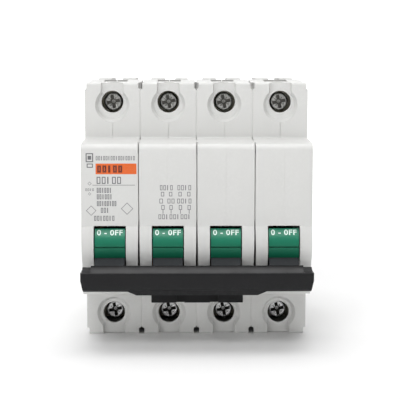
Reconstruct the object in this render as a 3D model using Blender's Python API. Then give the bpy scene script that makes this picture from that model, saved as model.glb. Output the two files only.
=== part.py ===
"""Four-pole rail-mounted circuit breaker, switched off.

Frame: +Z up, the front looks along -Y, X runs across the poles. The origin is at the
middle of the base. Side outlines are written as (depth, height) in millimetres, where
depth grows from the rail's front face towards the user.
"""

from math import atan2, cos, pi, radians, sin

import bmesh
import bpy
from mathutils import Matrix, Vector

MM = 0.001

# Overall sizes, in millimetres
POLES = 4
PITCH = 18.0
POLE_GAP = 0.3
SEAM_GAP = 0.2
HEIGHT = 82.0
TOP_LAND = 1.5
REAR = -5.5
SHOULDER = 44.0
FACE = 60.0
BAR_FRONT = 70.0
RAIL_Y = (BAR_FRONT + REAR) / 2

HALF_WIDTH = (PITCH - POLE_GAP) / 2
SEAM = SEAM_GAP / 2
SIDE_WALL = 1.3
INNER = HALF_WIDTH - SIDE_WALL
WALL = 1.6
FRONT_WALL = 2.4
FACE_WALL = 1.8
PARTITION = 1.2
PAST = 1.0  # how far a cutter passes the surface that it cuts

# Nose: the raised 45 mm part of the front
NOSE_BOTTOM = 16.0
NOSE_TOP = 64.3
WINDOW_TOP = 37.8
WINDOW_BOTTOM = 23.2
WINDOW_HALF = 5.0
BULGE_RADIUS = 14.0
BULGE_LIFT = 2.3

# Rail seat
RAIL_Z = 40.5
RAIL_HEIGHT = 35.0
RECESS_BOTTOM = 21.0
HOOK_TOP = RAIL_Z + RAIL_HEIGHT / 2 + 1.6
HOOK_TIP = RAIL_Z + RAIL_HEIGHT / 2 - 1.4
SEAT_TOP = HOOK_TIP - 0.6
SEAT_STEP = 0.4
HOOK_FRONT = -1.4
HOOK_SLOPE = 1.6

# Toggle and tie bar
TOGGLE = (51.5, 31.0)
DRUM_RADIUS = 9.6
DRUM_HALF = 4.6
LEVER_REST = -31.0
LEVER_THICKNESS = 4.4
LEVER_TIP = 16.4
TOGGLE_PIN = 1.6
PIN_END = 0.35
LEVER_ROOT = 6.0
CRANK_ANGLE = 90.0
CRANK_RADIUS = 6.0
BAR_HALF = 35.4
BAR_TOP = 26.6
BAR_REAR = 64.0
BAR_FOOT = 19.1
BAR_DIP = 1.0
LUG_BOTTOM = 15.3

# Contact mechanism
ARM = (31.0, 27.0)
ARM_REST = 77.0
ARM_LENGTH = 19.0
ARM_PIN_RADIUS = 11.0
ARM_HALF = 1.5
LINK_X = 2.5
LINK_RADIUS = 0.7
LINK_PLAY = 1.1
TRIP = (39.5, 64.5)
TRIP_RADIUS = 1.2
COIL_Z = 58.3
PLUNGER_TIP = 38.4
BIMETAL = (37.8, 38.7)

# Terminals
SCREW_HEIGHTS = {"upper": 75.9, "lower": 6.9}
SCREW_HOLE = 3.5
CHANNEL_HALF = 3.5
NOTCH_BITE = {"upper": 0.55, "lower": 0.75}
HEAD_TOP = 38.0
HEAD_THICKNESS = 2.2
HEAD_RADIUS = 2.95
SHANK_RADIUS = 2.3
CLAMP_TRAVEL = 5.6
CAGE_WALL = 2.2
CAGE_HALF = 4.6
CAGE_TALL = 4.2
CAGE_FRONT = HEAD_TOP - HEAD_THICKNESS - 0.3 - CLAMP_TRAVEL
PLATE_FRONT = CAGE_FRONT - CAGE_WALL - 0.3
PLATE_THICKNESS = 1.5
WIRE_HEIGHT = 8.0
CAGE_REAR = PLATE_FRONT - PLATE_THICKNESS - WIRE_HEIGHT - 1.8
PLATE_HALF = 3.3
CHAMBER_REAR = CAGE_REAR - 1.2
CHAMBER_LOW = 11.7
CHAMBER_HIGH = 71.3
RECESS_DEPTH = 1.5

# Rail clip
CLIP_TOP = RAIL_Z - RAIL_HEIGHT / 2 + 1.4
CLIP_BOTTOM = 0.8
SEAT_BOTTOM = CLIP_TOP + 0.6

# Rivets that hold the stack together
RIVETS = {"rear": (5.2, 66.5), "front": (34.5, 19.5)}
RIVET_RADIUS = 1.5

MATERIALS = {
    "case_plastic": ((0.62, 0.62, 0.60), 0.5, 0.0),
    "toggle_plastic": ((0.02, 0.16, 0.09), 0.4, 0.0),
    "bar_plastic": ((0.03, 0.03, 0.035), 0.45, 0.0),
    "clip_plastic": ((0.05, 0.05, 0.055), 0.5, 0.0),
    "trip_plastic": ((0.7, 0.68, 0.6), 0.5, 0.0),
    "screw_steel": ((0.55, 0.55, 0.55), 0.3, 1.0),
    "cage_steel": ((0.62, 0.6, 0.55), 0.4, 1.0),
    "copper": ((0.72, 0.36, 0.2), 0.35, 1.0),
    "arc_steel": ((0.4, 0.4, 0.4), 0.5, 1.0),
    "rod_steel": ((0.5, 0.5, 0.5), 0.35, 1.0),
}


# ---------------------------------------------------------------- helpers


def clear_scene():
    for obj in list(bpy.data.objects):
        bpy.data.objects.remove(obj, do_unlink=True)


def make_collection(name):
    collection = bpy.data.collections.new(name)
    bpy.context.scene.collection.children.link(collection)
    return collection


def make_material(name):
    colour, roughness, metallic = MATERIALS[name]
    material = bpy.data.materials.new(name)
    material.use_nodes = True
    shader = material.node_tree.nodes["Principled BSDF"]
    shader.inputs["Base Color"].default_value = (*colour, 1.0)
    shader.inputs["Roughness"].default_value = roughness
    shader.inputs["Metallic"].default_value = metallic
    return material


def front(depth):
    """World Y, in millimetres, of a depth measured from the rail's front face."""
    return RAIL_Y - depth


def mesh_from(bm, name):
    mesh = bpy.data.meshes.new(name)
    bmesh.ops.recalc_face_normals(bm, faces=bm.faces)
    bm.to_mesh(mesh)
    bm.free()
    return mesh


def box(x, depth, z):
    """A bmesh box from (low, high) pairs in millimetres."""
    low = Vector((x[0], front(depth[1]), z[0])) * MM
    high = Vector((x[1], front(depth[0]), z[1])) * MM
    bm = bmesh.new()
    place = Matrix.Translation((low + high) / 2) @ Matrix.Diagonal((*(high - low), 1.0))
    bmesh.ops.create_cube(bm, size=1.0, matrix=place)
    return bm


def prism(outline, x):
    """A side outline of (depth, height) points, extruded from x[0] to x[1]."""
    bm = bmesh.new()
    ring = [bm.verts.new(Vector((x[0], front(d), z)) * MM) for d, z in outline]
    face = bm.faces.new(ring)
    made = bmesh.ops.extrude_face_region(bm, geom=[face])["geom"]
    moved = [v for v in made if isinstance(v, bmesh.types.BMVert)]
    bmesh.ops.translate(bm, verts=moved, vec=((x[1] - x[0]) * MM, 0, 0))
    return bm


def rod_x(centre, radius, x, sides=20):
    """A cylinder along X through the side point (depth, height)."""
    bm = bmesh.new()
    middle = Vector(((x[0] + x[1]) / 2, front(centre[0]), centre[1])) * MM
    bmesh.ops.create_cone(
        bm,
        cap_ends=True,
        segments=sides,
        radius1=radius * MM,
        radius2=radius * MM,
        depth=(x[1] - x[0]) * MM,
        matrix=Matrix.Translation(middle) @ Matrix.Rotation(pi / 2, 4, "Y"),
    )
    return bm


def rod_y(x, z, radius, depth, sides=24, rear_radius=None):
    """A cylinder or cone along Y between two depths."""
    bm = bmesh.new()
    middle = Vector((x, front((depth[0] + depth[1]) / 2), z)) * MM
    bmesh.ops.create_cone(
        bm,
        cap_ends=True,
        segments=sides,
        radius1=radius * MM,
        radius2=(radius if rear_radius is None else rear_radius) * MM,
        depth=(depth[1] - depth[0]) * MM,
        matrix=Matrix.Translation(middle) @ Matrix.Rotation(-pi / 2, 4, "X"),
    )
    return bm


def arc(centre, radius, start, end, steps):
    """Side points on an arc, with angles in degrees from the front direction."""
    angles = [radians(start + (end - start) * i / steps) for i in range(steps + 1)]
    return [(centre[0] + radius * cos(a), centre[1] + radius * sin(a)) for a in angles]


def turned(centre, point, angle):
    """A side point turned about a side centre, in degrees from front towards up."""
    d = point[0] - centre[0]
    z = point[1] - centre[1]
    a = radians(angle)
    return (centre[0] + d * cos(a) - z * sin(a), centre[1] + d * sin(a) + z * cos(a))


def polar(centre, radius, angle):
    a = radians(angle)
    return (centre[0] + radius * cos(a), centre[1] + radius * sin(a))


def strip(path, thickness):
    """The outline of a bent strip of constant thickness along a side path of right angles."""
    half = thickness / 2
    left = []
    right = []
    for i, (d, z) in enumerate(path):
        before = path[max(i - 1, 0)]
        after = path[min(i + 1, len(path) - 1)]
        into = atan2(z - before[1], d - before[0]) if i else None
        away = atan2(after[1] - z, after[0] - d) if i < len(path) - 1 else None
        into = away if into is None else into
        away = into if away is None else away
        d_off = -(sin(into) + sin(away)) / (1 + cos(into - away)) * half
        z_off = (cos(into) + cos(away)) / (1 + cos(into - away)) * half
        left.append((d + d_off, z + z_off))
        right.append((d - d_off, z - z_off))
    return left + right[::-1]


class Shop:
    """Makes the named solids: it keeps the collections, materials and cutters."""

    def __init__(self):
        clear_scene()
        self.parts = make_collection("circuit_breaker")
        self.tools = make_collection("cutters")
        self.materials = {name: make_material(name) for name in MATERIALS}
        self.count = 0

    def tool(self, bm):
        self.count += 1
        name = f"cutter_{self.count}"
        obj = bpy.data.objects.new(name, mesh_from(bm, name))
        obj.hide_render = True
        obj.display_type = "WIRE"
        self.tools.objects.link(obj)
        return obj

    def carve(self, bm, steps):
        """The mesh left when (operation, bmesh) steps are applied in order."""
        body = self.tool(bm)
        for operation, other in steps:
            modifier = body.modifiers.new(operation.lower(), "BOOLEAN")
            modifier.operation = operation
            modifier.object = self.tool(other)
        graph = bpy.context.evaluated_depsgraph_get()
        mesh = bpy.data.meshes.new_from_object(body.evaluated_get(graph))
        for obj in list(self.tools.objects):
            bpy.data.objects.remove(obj, do_unlink=True)
        return mesh

    def part(self, name, mesh, slot, pivot=None, shift=0.0, parent=None):
        """One node. Its origin goes to the pivot (depth, height) when one is given."""
        obj = bpy.data.objects.new(name, mesh)
        if not mesh.materials:
            mesh.materials.append(self.materials[slot])
        self.parts.objects.link(obj)
        home = Vector((shift, 0, 0)) * MM
        if pivot is not None:
            at = Vector((0, front(pivot[0]), pivot[1])) * MM
            if "pivot" not in mesh:
                mesh.transform(Matrix.Translation(-at))
                mesh["pivot"] = True
            home += at
        if parent is not None:
            obj.parent = parent
            home -= parent.location
        obj.location = home
        return obj


def pole_x(pole):
    """Middle of pole 1 to 4, counted from the left as the user sees it."""
    return (pole - (POLES + 1) / 2) * PITCH


# ---------------------------------------------------------------- case shells


def bulge_arc(steps):
    """The cheeks beside the toggle, an arc that bows out of the front face."""
    middle = (WINDOW_TOP + WINDOW_BOTTOM + BULGE_LIFT) / 2
    rise = WINDOW_TOP - middle
    centre = (FACE - (BULGE_RADIUS**2 - rise**2) ** 0.5, middle)
    span = 180 / pi * atan2(rise, FACE - centre[0])
    return arc(centre, BULGE_RADIUS, span, -span, steps)


def case_outline():
    edge = 0.8
    chin_rear = 2.6
    chin_front = 1.7
    chin_rise = 0.9
    nose_round = 2.2
    nose_lip = 0.8
    ramp_rear = 17.3
    ramp_front = 30.0
    ramp_rise = 0.9
    land_slope = 0.2
    points = [(REAR, RECESS_BOTTOM), (REAR, edge), (REAR + edge, 0), (SHOULDER - edge, 0)]
    points += [(SHOULDER, edge), (SHOULDER, NOSE_BOTTOM)]
    points += [(FACE - chin_rear, NOSE_BOTTOM), (FACE - chin_front, NOSE_BOTTOM + chin_rise)]
    points += bulge_arc(6)[::-1]
    round_centre = (FACE - nose_round, NOSE_TOP - nose_lip - nose_round)
    points += arc(round_centre, nose_round, 0, 90, 4)
    points += [(SHOULDER, NOSE_TOP)]
    points += arc((SHOULDER - edge, HEIGHT - edge), edge, 0, 90, 2)
    points += [(ramp_front, HEIGHT), (ramp_rear, HEIGHT + ramp_rise)]
    points += [(ramp_rear - land_slope, HEIGHT + TOP_LAND)]
    points += [(REAR + edge, HEIGHT + TOP_LAND), (REAR, HEIGHT + TOP_LAND - edge)]
    points += [(REAR, HOOK_TIP + HOOK_SLOPE), (REAR + HOOK_SLOPE, HOOK_TIP)]
    points += [(HOOK_FRONT, HOOK_TIP), (HOOK_FRONT, HOOK_TOP), (SEAT_STEP, HOOK_TOP)]
    points += [(SEAT_STEP, SEAT_TOP), (0, SEAT_TOP), (0, SEAT_BOTTOM)]
    points += [(SEAT_STEP, SEAT_BOTTOM), (SEAT_STEP, RECESS_BOTTOM)]
    return points


def case_cavities():
    """Side outlines of the hollow inside, each open at the middle seam."""
    front_in = SHOULDER - FRONT_WALL
    face_in = FACE - FACE_WALL
    chin = (4.2, 3.2)
    brow = (3.6, 4.6)
    brow_top = 2.8
    brow_rear = 2.0
    seat_wall = 0.6
    split_low = CHAMBER_LOW + PARTITION
    split_high = CHAMBER_HIGH - PARTITION
    mechanism = [
        (WALL, split_low),
        (front_in, split_low),
        (front_in, NOSE_BOTTOM + WALL),
        (FACE - chin[0], NOSE_BOTTOM + WALL),
        (face_in, NOSE_BOTTOM + chin[1]),
        (face_in, NOSE_TOP - brow[1]),
        (FACE - brow[0], NOSE_TOP - brow_top),
        (front_in, NOSE_TOP - brow_rear),
        (front_in, split_high),
        (WALL, split_high),
    ]
    upper = box_outline((CHAMBER_REAR, front_in), (CHAMBER_HIGH, HEIGHT - WALL))
    lower = box_outline((CHAMBER_REAR, front_in), (WALL, CHAMBER_LOW))
    split_rear = CHAMBER_REAR - PARTITION
    upper_rear = box_outline((REAR + WALL, split_rear), (CHAMBER_HIGH, HEIGHT - WALL))
    lower_rear = box_outline((seat_wall, split_rear), (WALL, CHAMBER_LOW))
    return [mechanism, upper, lower, upper_rear, lower_rear]


def box_outline(depth, z):
    return [(depth[0], z[0]), (depth[1], z[0]), (depth[1], z[1]), (depth[0], z[1])]


def terminal_openings(row, z):
    """The cuts round one terminal: keyhole, wire mouth, corner notches and plate slot."""
    sign = 1 if row == "upper" else -1
    edge = HEIGHT if row == "upper" else 0.0
    floor = SHOULDER - RECESS_DEPTH
    ring_drop = 1.0 if row == "upper" else 0.0
    ring_radii = (6.0, 4.4)
    channel_past = 1.5
    mouth_half = 3.9
    mouth_reach = 3.5
    mouth_depth = (PLATE_FRONT - PLATE_THICKNESS - WIRE_HEIGHT + 0.2, PLATE_FRONT - 1.3)
    notch_tall = 2.1
    notch_deep = 14
    outside = 3.0
    slot_half = 6.0
    slot_depth = (PLATE_FRONT - 3.7, PLATE_FRONT + 0.7)
    slot_reach = (7.5, 3)
    cuts = [rod_y(0, z, SCREW_HOLE, (SHOULDER - FRONT_WALL - PAST, SHOULDER + PAST), 16)]
    ring_depth = (floor, SHOULDER + PAST / 2)
    cuts.append(rod_y(0, z - ring_drop, ring_radii[0], ring_depth, 20, ring_radii[1]))
    channel = sorted((z, edge + channel_past * sign))
    cuts.append(box((-CHANNEL_HALF, CHANNEL_HALF), (floor, SHOULDER + PAST), channel))
    mouth = sorted((edge - mouth_reach * sign, edge + outside * sign))
    cuts.append(box((-mouth_half, mouth_half), mouth_depth, mouth))
    notch = sorted((edge - notch_tall * sign, edge + outside * sign))
    for side in (-1, 1):
        across = sorted((side * (HALF_WIDTH - NOTCH_BITE[row]), side * (HALF_WIDTH + PAST)))
        cuts.append(box(across, (SHOULDER - notch_deep, SHOULDER + PAST), notch))
    slot = sorted((z - slot_reach[0] * sign, z - slot_reach[1] * sign))
    cuts.append(box((-slot_half, slot_half), slot_depth, slot))
    return cuts


def case_openings():
    """Everything cut through the walls, symmetric about the pole's middle."""
    drum_play = 0.4
    land_gaps = ((-1.9, 1.9), (-12, -6.4), (6.4, 12))
    land_front = 18.0
    clip_slot_half = 3.3
    clip_slot_depth = (REAR - PAST, REAR + 1.2)
    clip_track_half = 4.5
    clip_track_depth = (REAR + 0.9, -1.1)
    clip_height = (-PAST, RECESS_BOTTOM + PAST)
    rivet_play = 0.4
    trip_play = 0.6
    through = (-10, 10)
    cuts = []
    window = (WINDOW_BOTTOM, WINDOW_TOP)
    cuts.append(box((-WINDOW_HALF, WINDOW_HALF), (FACE - 2.4, FACE + 3), window))
    cuts.append(rod_x(TOGGLE, DRUM_RADIUS + drum_play, (-WINDOW_HALF, WINDOW_HALF), 28))
    for row, z in SCREW_HEIGHTS.items():
        cuts += terminal_openings(row, z)
    for gap in land_gaps:
        cuts.append(box(gap, (REAR - PAST, land_front), (HEIGHT, HEIGHT + TOP_LAND + PAST)))
    cuts.append(box((-clip_slot_half, clip_slot_half), clip_slot_depth, clip_height))
    cuts.append(box((-clip_track_half, clip_track_half), clip_track_depth, clip_height))
    for at in RIVETS.values():
        cuts.append(rod_x(at, RIVET_RADIUS + rivet_play, through, 10))
    cuts.append(rod_x(TRIP, TRIP_RADIUS + trip_play, through, 10))
    return cuts


def case_bosses():
    """Bearing rings on the side wall: (side point, outer radius, inner radius, inner end)."""
    return [(TOGGLE, 3.4, TOGGLE_PIN + 0.4, 5.2), (ARM, 2.8, 1.5, 4.4)]


def make_case_half(shop):
    body = prism(case_outline(), (SEAM, HALF_WIDTH))
    steps = [("DIFFERENCE", prism(outline, (-1, INNER))) for outline in case_cavities()]
    for at, outer, _inner, start in case_bosses():
        steps.append(("UNION", rod_x(at, outer, (start, INNER + 0.4), 14)))
    for at, _outer, inner, _start in case_bosses():
        steps.append(("DIFFERENCE", rod_x(at, inner, (0, INNER + 0.2), 10)))
    steps += [("DIFFERENCE", cut) for cut in case_openings()]
    return shop.carve(body, steps)


def mirrored(mesh):
    other = mesh.copy()
    other.transform(Matrix.Diagonal((-1, 1, 1, 1)))
    other.flip_normals()
    return other


# ---------------------------------------------------------------- handle


def make_toggle(shop):
    """Drum sector, hub, pivot pins, lever and crank ear of one pole."""
    hub_radius = 3.0
    ear_half = 1.7
    ear_root = 1.5
    ear_thick = (-1.0, 1.0)
    outline = arc(TOGGLE, DRUM_RADIUS, LEVER_REST - 88, LEVER_REST + 80, 18)
    outline += arc(TOGGLE, hub_radius, LEVER_REST + 100, LEVER_REST + 252, 5)
    thick = (-LEVER_THICKNESS / 2, LEVER_THICKNESS / 2)
    lever = box_outline((TOGGLE[0] + LEVER_ROOT, TOGGLE[0] + LEVER_TIP), thick)
    lever = [turned(TOGGLE, (d, z + TOGGLE[1]), LEVER_REST) for d, z in lever]
    ear_base = polar(TOGGLE, ear_root, CRANK_ANGLE)
    ear_tip = polar(TOGGLE, CRANK_RADIUS, CRANK_ANGLE)
    ear = [
        (ear_base[0] - ear_half, ear_base[1]),
        (ear_base[0] + ear_half, ear_base[1]),
        *arc(ear_tip, ear_half, 0, 180, 6),
    ]
    pins = (-INNER + PIN_END, INNER - PIN_END)
    steps = [
        ("UNION", rod_x(TOGGLE, TOGGLE_PIN, pins, 12)),
        ("UNION", prism(lever, (-DRUM_HALF, DRUM_HALF))),
        ("UNION", prism(ear, ear_thick)),
        ("DIFFERENCE", rod_x(ear_tip, LINK_RADIUS + 0.3, (-2, 2), 10)),
    ]
    return shop.carve(prism(outline, (-DRUM_HALF, DRUM_HALF)), steps)


def make_tie_bar(shop):
    """The bar that joins the four toggles, with a pocket for each lever."""
    edge = 0.8
    crest_slope = (3.4, 1.6)
    belly_half = 18.4
    lug_half = 14.0
    lug_depth = (BAR_REAR + 0.6, BAR_REAR + 3.4)
    lug_notch = (3.9, 6.4)
    lug_web = 2.2
    end_step = 0.6
    outline = [
        (BAR_REAR, BAR_TOP - edge),
        (BAR_REAR, BAR_FOOT),
        (BAR_FRONT - edge, BAR_FOOT),
        (BAR_FRONT, BAR_FOOT + edge),
        (BAR_FRONT, BAR_TOP - crest_slope[1]),
        (BAR_FRONT - crest_slope[0], BAR_TOP),
        (BAR_REAR + edge, BAR_TOP),
    ]
    belly = [
        (BAR_REAR + 0.2, BAR_FOOT + 1),
        (BAR_REAR + 0.2, BAR_FOOT - BAR_DIP),
        (BAR_FRONT - edge, BAR_FOOT - BAR_DIP),
        (BAR_FRONT, BAR_FOOT - BAR_DIP + edge),
        (BAR_FRONT, BAR_FOOT + 1),
    ]
    lug = box_outline(lug_depth, (LUG_BOTTOM, BAR_FOOT))
    steps = [("UNION", prism(belly, (-belly_half, belly_half)))]
    steps.append(("UNION", prism(lug, (-lug_half, lug_half))))
    for side in (-1, 1):
        notch = sorted((side * lug_notch[0], side * lug_notch[1]))
        gap = (LUG_BOTTOM - PAST, BAR_FOOT - BAR_DIP - 0.1)
        steps.append(("DIFFERENCE", box(notch, (BAR_REAR + lug_web, BAR_FRONT), gap)))
        tail = sorted((side * (BAR_HALF - end_step), side * (BAR_HALF + PAST)))
        corner = (BAR_TOP - 1.7, BAR_TOP + PAST)
        steps.append(("DIFFERENCE", box(tail, (BAR_REAR - PAST, BAR_FRONT + PAST), corner)))
    play = 0.3
    for pole in range(1, POLES + 1):
        reach = LEVER_TIP + 0.4
        half = LEVER_THICKNESS / 2 + play
        pocket = box_outline((TOGGLE[0] + LEVER_ROOT, TOGGLE[0] + reach), (-half, half))
        pocket = [turned(TOGGLE, (d, z + TOGGLE[1]), LEVER_REST) for d, z in pocket]
        x = pole_x(pole)
        across = (x - DRUM_HALF - play, x + DRUM_HALF + play)
        steps.append(("DIFFERENCE", prism(pocket, across)))
    return shop.carve(prism(outline, (-BAR_HALF, BAR_HALF)), steps)


# ---------------------------------------------------------------- terminals


def make_screw(shop, z):
    """Clamp screw with a cross recess. Its thread is stood for by a plain shank."""
    neck = HEAD_TOP - HEAD_THICKNESS
    tip = CAGE_FRONT - CAGE_WALL + 0.1
    blade_half = 0.55
    blade_reach = 1.75
    blade_depth = (HEAD_TOP - 1.5, HEAD_TOP + PAST)
    recess = []
    for turn in (0, 90):
        blade = box((-blade_half, blade_half), blade_depth, (z - blade_reach, z + blade_reach))
        centre = Vector((0, front(HEAD_TOP), z)) * MM
        spin = Matrix.Rotation(radians(turn), 3, "Y")
        bmesh.ops.rotate(blade, verts=blade.verts, cent=centre, matrix=spin)
        recess.append(("DIFFERENCE", blade))
    head = rod_y(0, z, HEAD_RADIUS, (neck, HEAD_TOP), 16)
    shank = rod_y(0, z, SHANK_RADIUS, (tip, neck + 0.5), 10)
    return shop.carve(head, [("UNION", shank), *recess])


def make_cage(shop, z):
    """Box clamp: a square tube, open up and down for the wire, tapped for its screw."""
    side_wall = 0.9
    jaw = 1.8
    outer = box((-CAGE_HALF, CAGE_HALF), (CAGE_REAR, CAGE_FRONT), (z - CAGE_TALL, z + CAGE_TALL))
    inside = box(
        (-CAGE_HALF + side_wall, CAGE_HALF - side_wall),
        (CAGE_REAR + jaw, CAGE_FRONT - CAGE_WALL),
        (z - CAGE_TALL - PAST, z + CAGE_TALL + PAST),
    )
    thread = (CAGE_FRONT - CAGE_WALL - PAST, CAGE_FRONT + PAST)
    hole = rod_y(0, z, SHANK_RADIUS + 0.3, thread, 12)
    return shop.carve(outer, [("DIFFERENCE", inside), ("DIFFERENCE", hole)])


# ---------------------------------------------------------------- conductors


def plate_middle():
    return PLATE_FRONT - PLATE_THICKNESS / 2


def make_line_conductor(shop):
    """Terminal plate, riser past the coil, and the fixed contact with its tip."""
    plate_height = (66.6, SCREW_HEIGHTS["upper"] + 3.9)
    thickness = 1.3
    top = 67.3
    elbow = 51.2
    foot = 41.0
    riser_depth = 29.8
    contact_depth = 22.6
    riser_x = (1.8, 6.2)
    foot_x = (-2.5, 6.2)
    contact_z = (42.6, 47.4)
    plate_depth = (PLATE_FRONT - PLATE_THICKNESS, PLATE_FRONT)
    plate = box((-PLATE_HALF, PLATE_HALF), plate_depth, plate_height)
    path = [
        (plate_middle(), top),
        (riser_depth, top),
        (riser_depth, elbow),
        (contact_depth, elbow),
        (contact_depth, foot),
    ]
    riser = prism(strip(path, thickness), riser_x)
    half = thickness / 2
    across_depth = (PLATE_FRONT - PLATE_THICKNESS, PLATE_FRONT + 0.2)
    across = box((-PLATE_HALF, riser_x[1]), across_depth, (top - half, top + half))
    bearer = box(foot_x, (contact_depth - half, contact_depth + half), (foot, 49.0))
    tip = box((-2.0, 2.0), (contact_depth + 0.5, contact_depth + 2.3), contact_z)
    steps = [("UNION", part) for part in (across, riser, bearer, tip)]
    return shop.carve(plate, steps)


def make_load_conductor(shop):
    """Lower terminal plate and the bimetal strip that bends forward when it is hot."""
    plate_height = (SCREW_HEIGHTS["lower"] - 3.9, 14.9)
    strip_x = (-6.4, -3.4)
    shelf_front = 31.0
    shelf_z = (13.8, 15.1)
    reach_depth = (30.0, 38.6)
    reach_z = (13.75, 15.05)
    bimetal_z = (14.2, 51.0)
    plate_depth = (PLATE_FRONT - PLATE_THICKNESS, PLATE_FRONT)
    plate = box((-PLATE_HALF, PLATE_HALF), plate_depth, plate_height)
    shelf = box((strip_x[0], PLATE_HALF), (plate_depth[0], shelf_front), shelf_z)
    reach = box(strip_x, reach_depth, reach_z)
    bimetal = box(strip_x, BIMETAL, bimetal_z)
    return shop.carve(plate, [("UNION", shelf), ("UNION", reach), ("UNION", bimetal)])


def make_coil(shop):
    """Magnetic trip: wound coil between the plates of a steel yoke, and its plunger."""
    start = 10.0
    turns = 4
    wire = 3.75
    end = start + wire * turns
    crest_radius = 5.3
    valley_radius = 4.5
    collar = (0.4, 4.0)
    outline = [(start - collar[0], 0.0), (start - collar[0], collar[1])]
    for turn in range(turns):
        outline.append((start + wire * (turn + 0.25), crest_radius))
        outline.append((start + wire * (turn + 0.75), crest_radius))
        outline.append((start + wire * (turn + 1.0), valley_radius))
    outline += [(end + collar[0], collar[1]), (end + collar[0], 0.0)]
    winding = bmesh.new()
    points = [Vector((0, front(d), COIL_Z + r)) * MM for d, r in outline]
    ring = [winding.verts.new(p) for p in points]
    edges = [winding.edges.new(pair) for pair in zip(ring, ring[1:])]
    bmesh.ops.spin(
        winding,
        geom=ring + edges,
        cent=Vector((0, 0, COIL_Z)) * MM,
        axis=(0, 1, 0),
        angle=2 * pi,
        steps=12,
        use_merge=True,
        use_duplicate=False,
    )
    bmesh.ops.remove_doubles(winding, verts=winding.verts, dist=1e-6)
    yoke = 1.2
    yoke_x = (-4.6, 1.4)
    yoke_z = (COIL_Z - 5.2, COIL_Z + 7.2)
    roof_z = (COIL_Z + 6.1, COIL_Z + 7.3)
    plunger_radius = 0.9
    steps = [
        ("UNION", box((yoke_x[0], -yoke_x[0]), (start - yoke, start), yoke_z)),
        ("UNION", box(yoke_x, (end, end + yoke), yoke_z)),
        ("UNION", box(yoke_x, (start - yoke, end + yoke), roof_z)),
        ("UNION", rod_y(0, COIL_Z, plunger_radius, (end, PLUNGER_TIP), 8)),
    ]
    return shop.carve(winding, steps)


def make_arc_chute(shop):
    """Steel splitter plates held between two side cards, notched towards the contacts."""
    count = 8
    pitch = 2.3
    thickness = 0.9
    low = 24.2
    depth = (3.0, 18.5)
    plate_half = 6.2
    plate_depth = (depth[0] + 0.4, depth[1] - 0.8)
    card_x = (5.9, 6.9)
    card_z = (low - 0.6, low + pitch * (count - 1) + 1.5)
    notch_radius = 5.2
    notch_tall = 24
    card = box(card_x, depth, card_z)
    steps = [("UNION", box((-card_x[1], -card_x[0]), depth, card_z))]
    for i in range(count):
        z = low + pitch * i
        steps.append(("UNION", box((-plate_half, plate_half), plate_depth, (z, z + thickness))))
    notch = bmesh.new()
    bmesh.ops.create_cone(
        notch,
        cap_ends=True,
        segments=3,
        radius1=notch_radius * MM,
        radius2=notch_radius * MM,
        depth=notch_tall * MM,
        matrix=Matrix.Translation(Vector((0, front(depth[1] + 0.4), low + 8)) * MM)
        @ Matrix.Rotation(pi, 4, "Z"),
    )
    steps.append(("DIFFERENCE", notch))
    return shop.carve(card, steps)


# ---------------------------------------------------------------- mechanism


def make_contact_arm(shop):
    """Moving contact arm: pivot pins at its foot, contact tip at its head."""
    foot_half = 2.4
    foot_drop = 2.0
    belly_half = 3.0
    head = (-1.1, 1.3)
    neck = 3.4
    tip_depth = (-2.0, -0.8)
    tip_reach = (14.8, 0.4)
    pin_radius = 1.1
    along = [
        (ARM[0] - foot_half, ARM[1] - foot_drop),
        (ARM[0] + foot_half, ARM[1] - foot_drop),
        (ARM[0] + belly_half, ARM[1] + ARM_PIN_RADIUS),
        (ARM[0] + head[1], ARM[1] + ARM_LENGTH),
        (ARM[0] + head[0], ARM[1] + ARM_LENGTH),
        (ARM[0] + head[0], ARM[1] + ARM_PIN_RADIUS + neck),
        (ARM[0] - belly_half, ARM[1] + ARM_PIN_RADIUS),
    ]
    lean = ARM_REST - 90
    along = [turned(ARM, point, lean) for point in along]
    tip_z = (ARM[1] + tip_reach[0], ARM[1] + ARM_LENGTH - tip_reach[1])
    tip = box_outline((ARM[0] + tip_depth[0], ARM[0] + tip_depth[1]), tip_z)
    tip = [turned(ARM, point, lean) for point in tip]
    hole = polar(ARM, ARM_PIN_RADIUS, ARM_REST)
    steps = [
        ("UNION", rod_x(ARM, pin_radius, (-INNER + PIN_END, INNER - PIN_END), 10)),
        ("UNION", prism(tip, (-1.4, 1.4))),
        ("DIFFERENCE", rod_x(hole, LINK_RADIUS + LINK_PLAY, (-3, 3), 12)),
    ]
    return shop.carve(prism(along, (-ARM_HALF, ARM_HALF)), steps)


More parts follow.
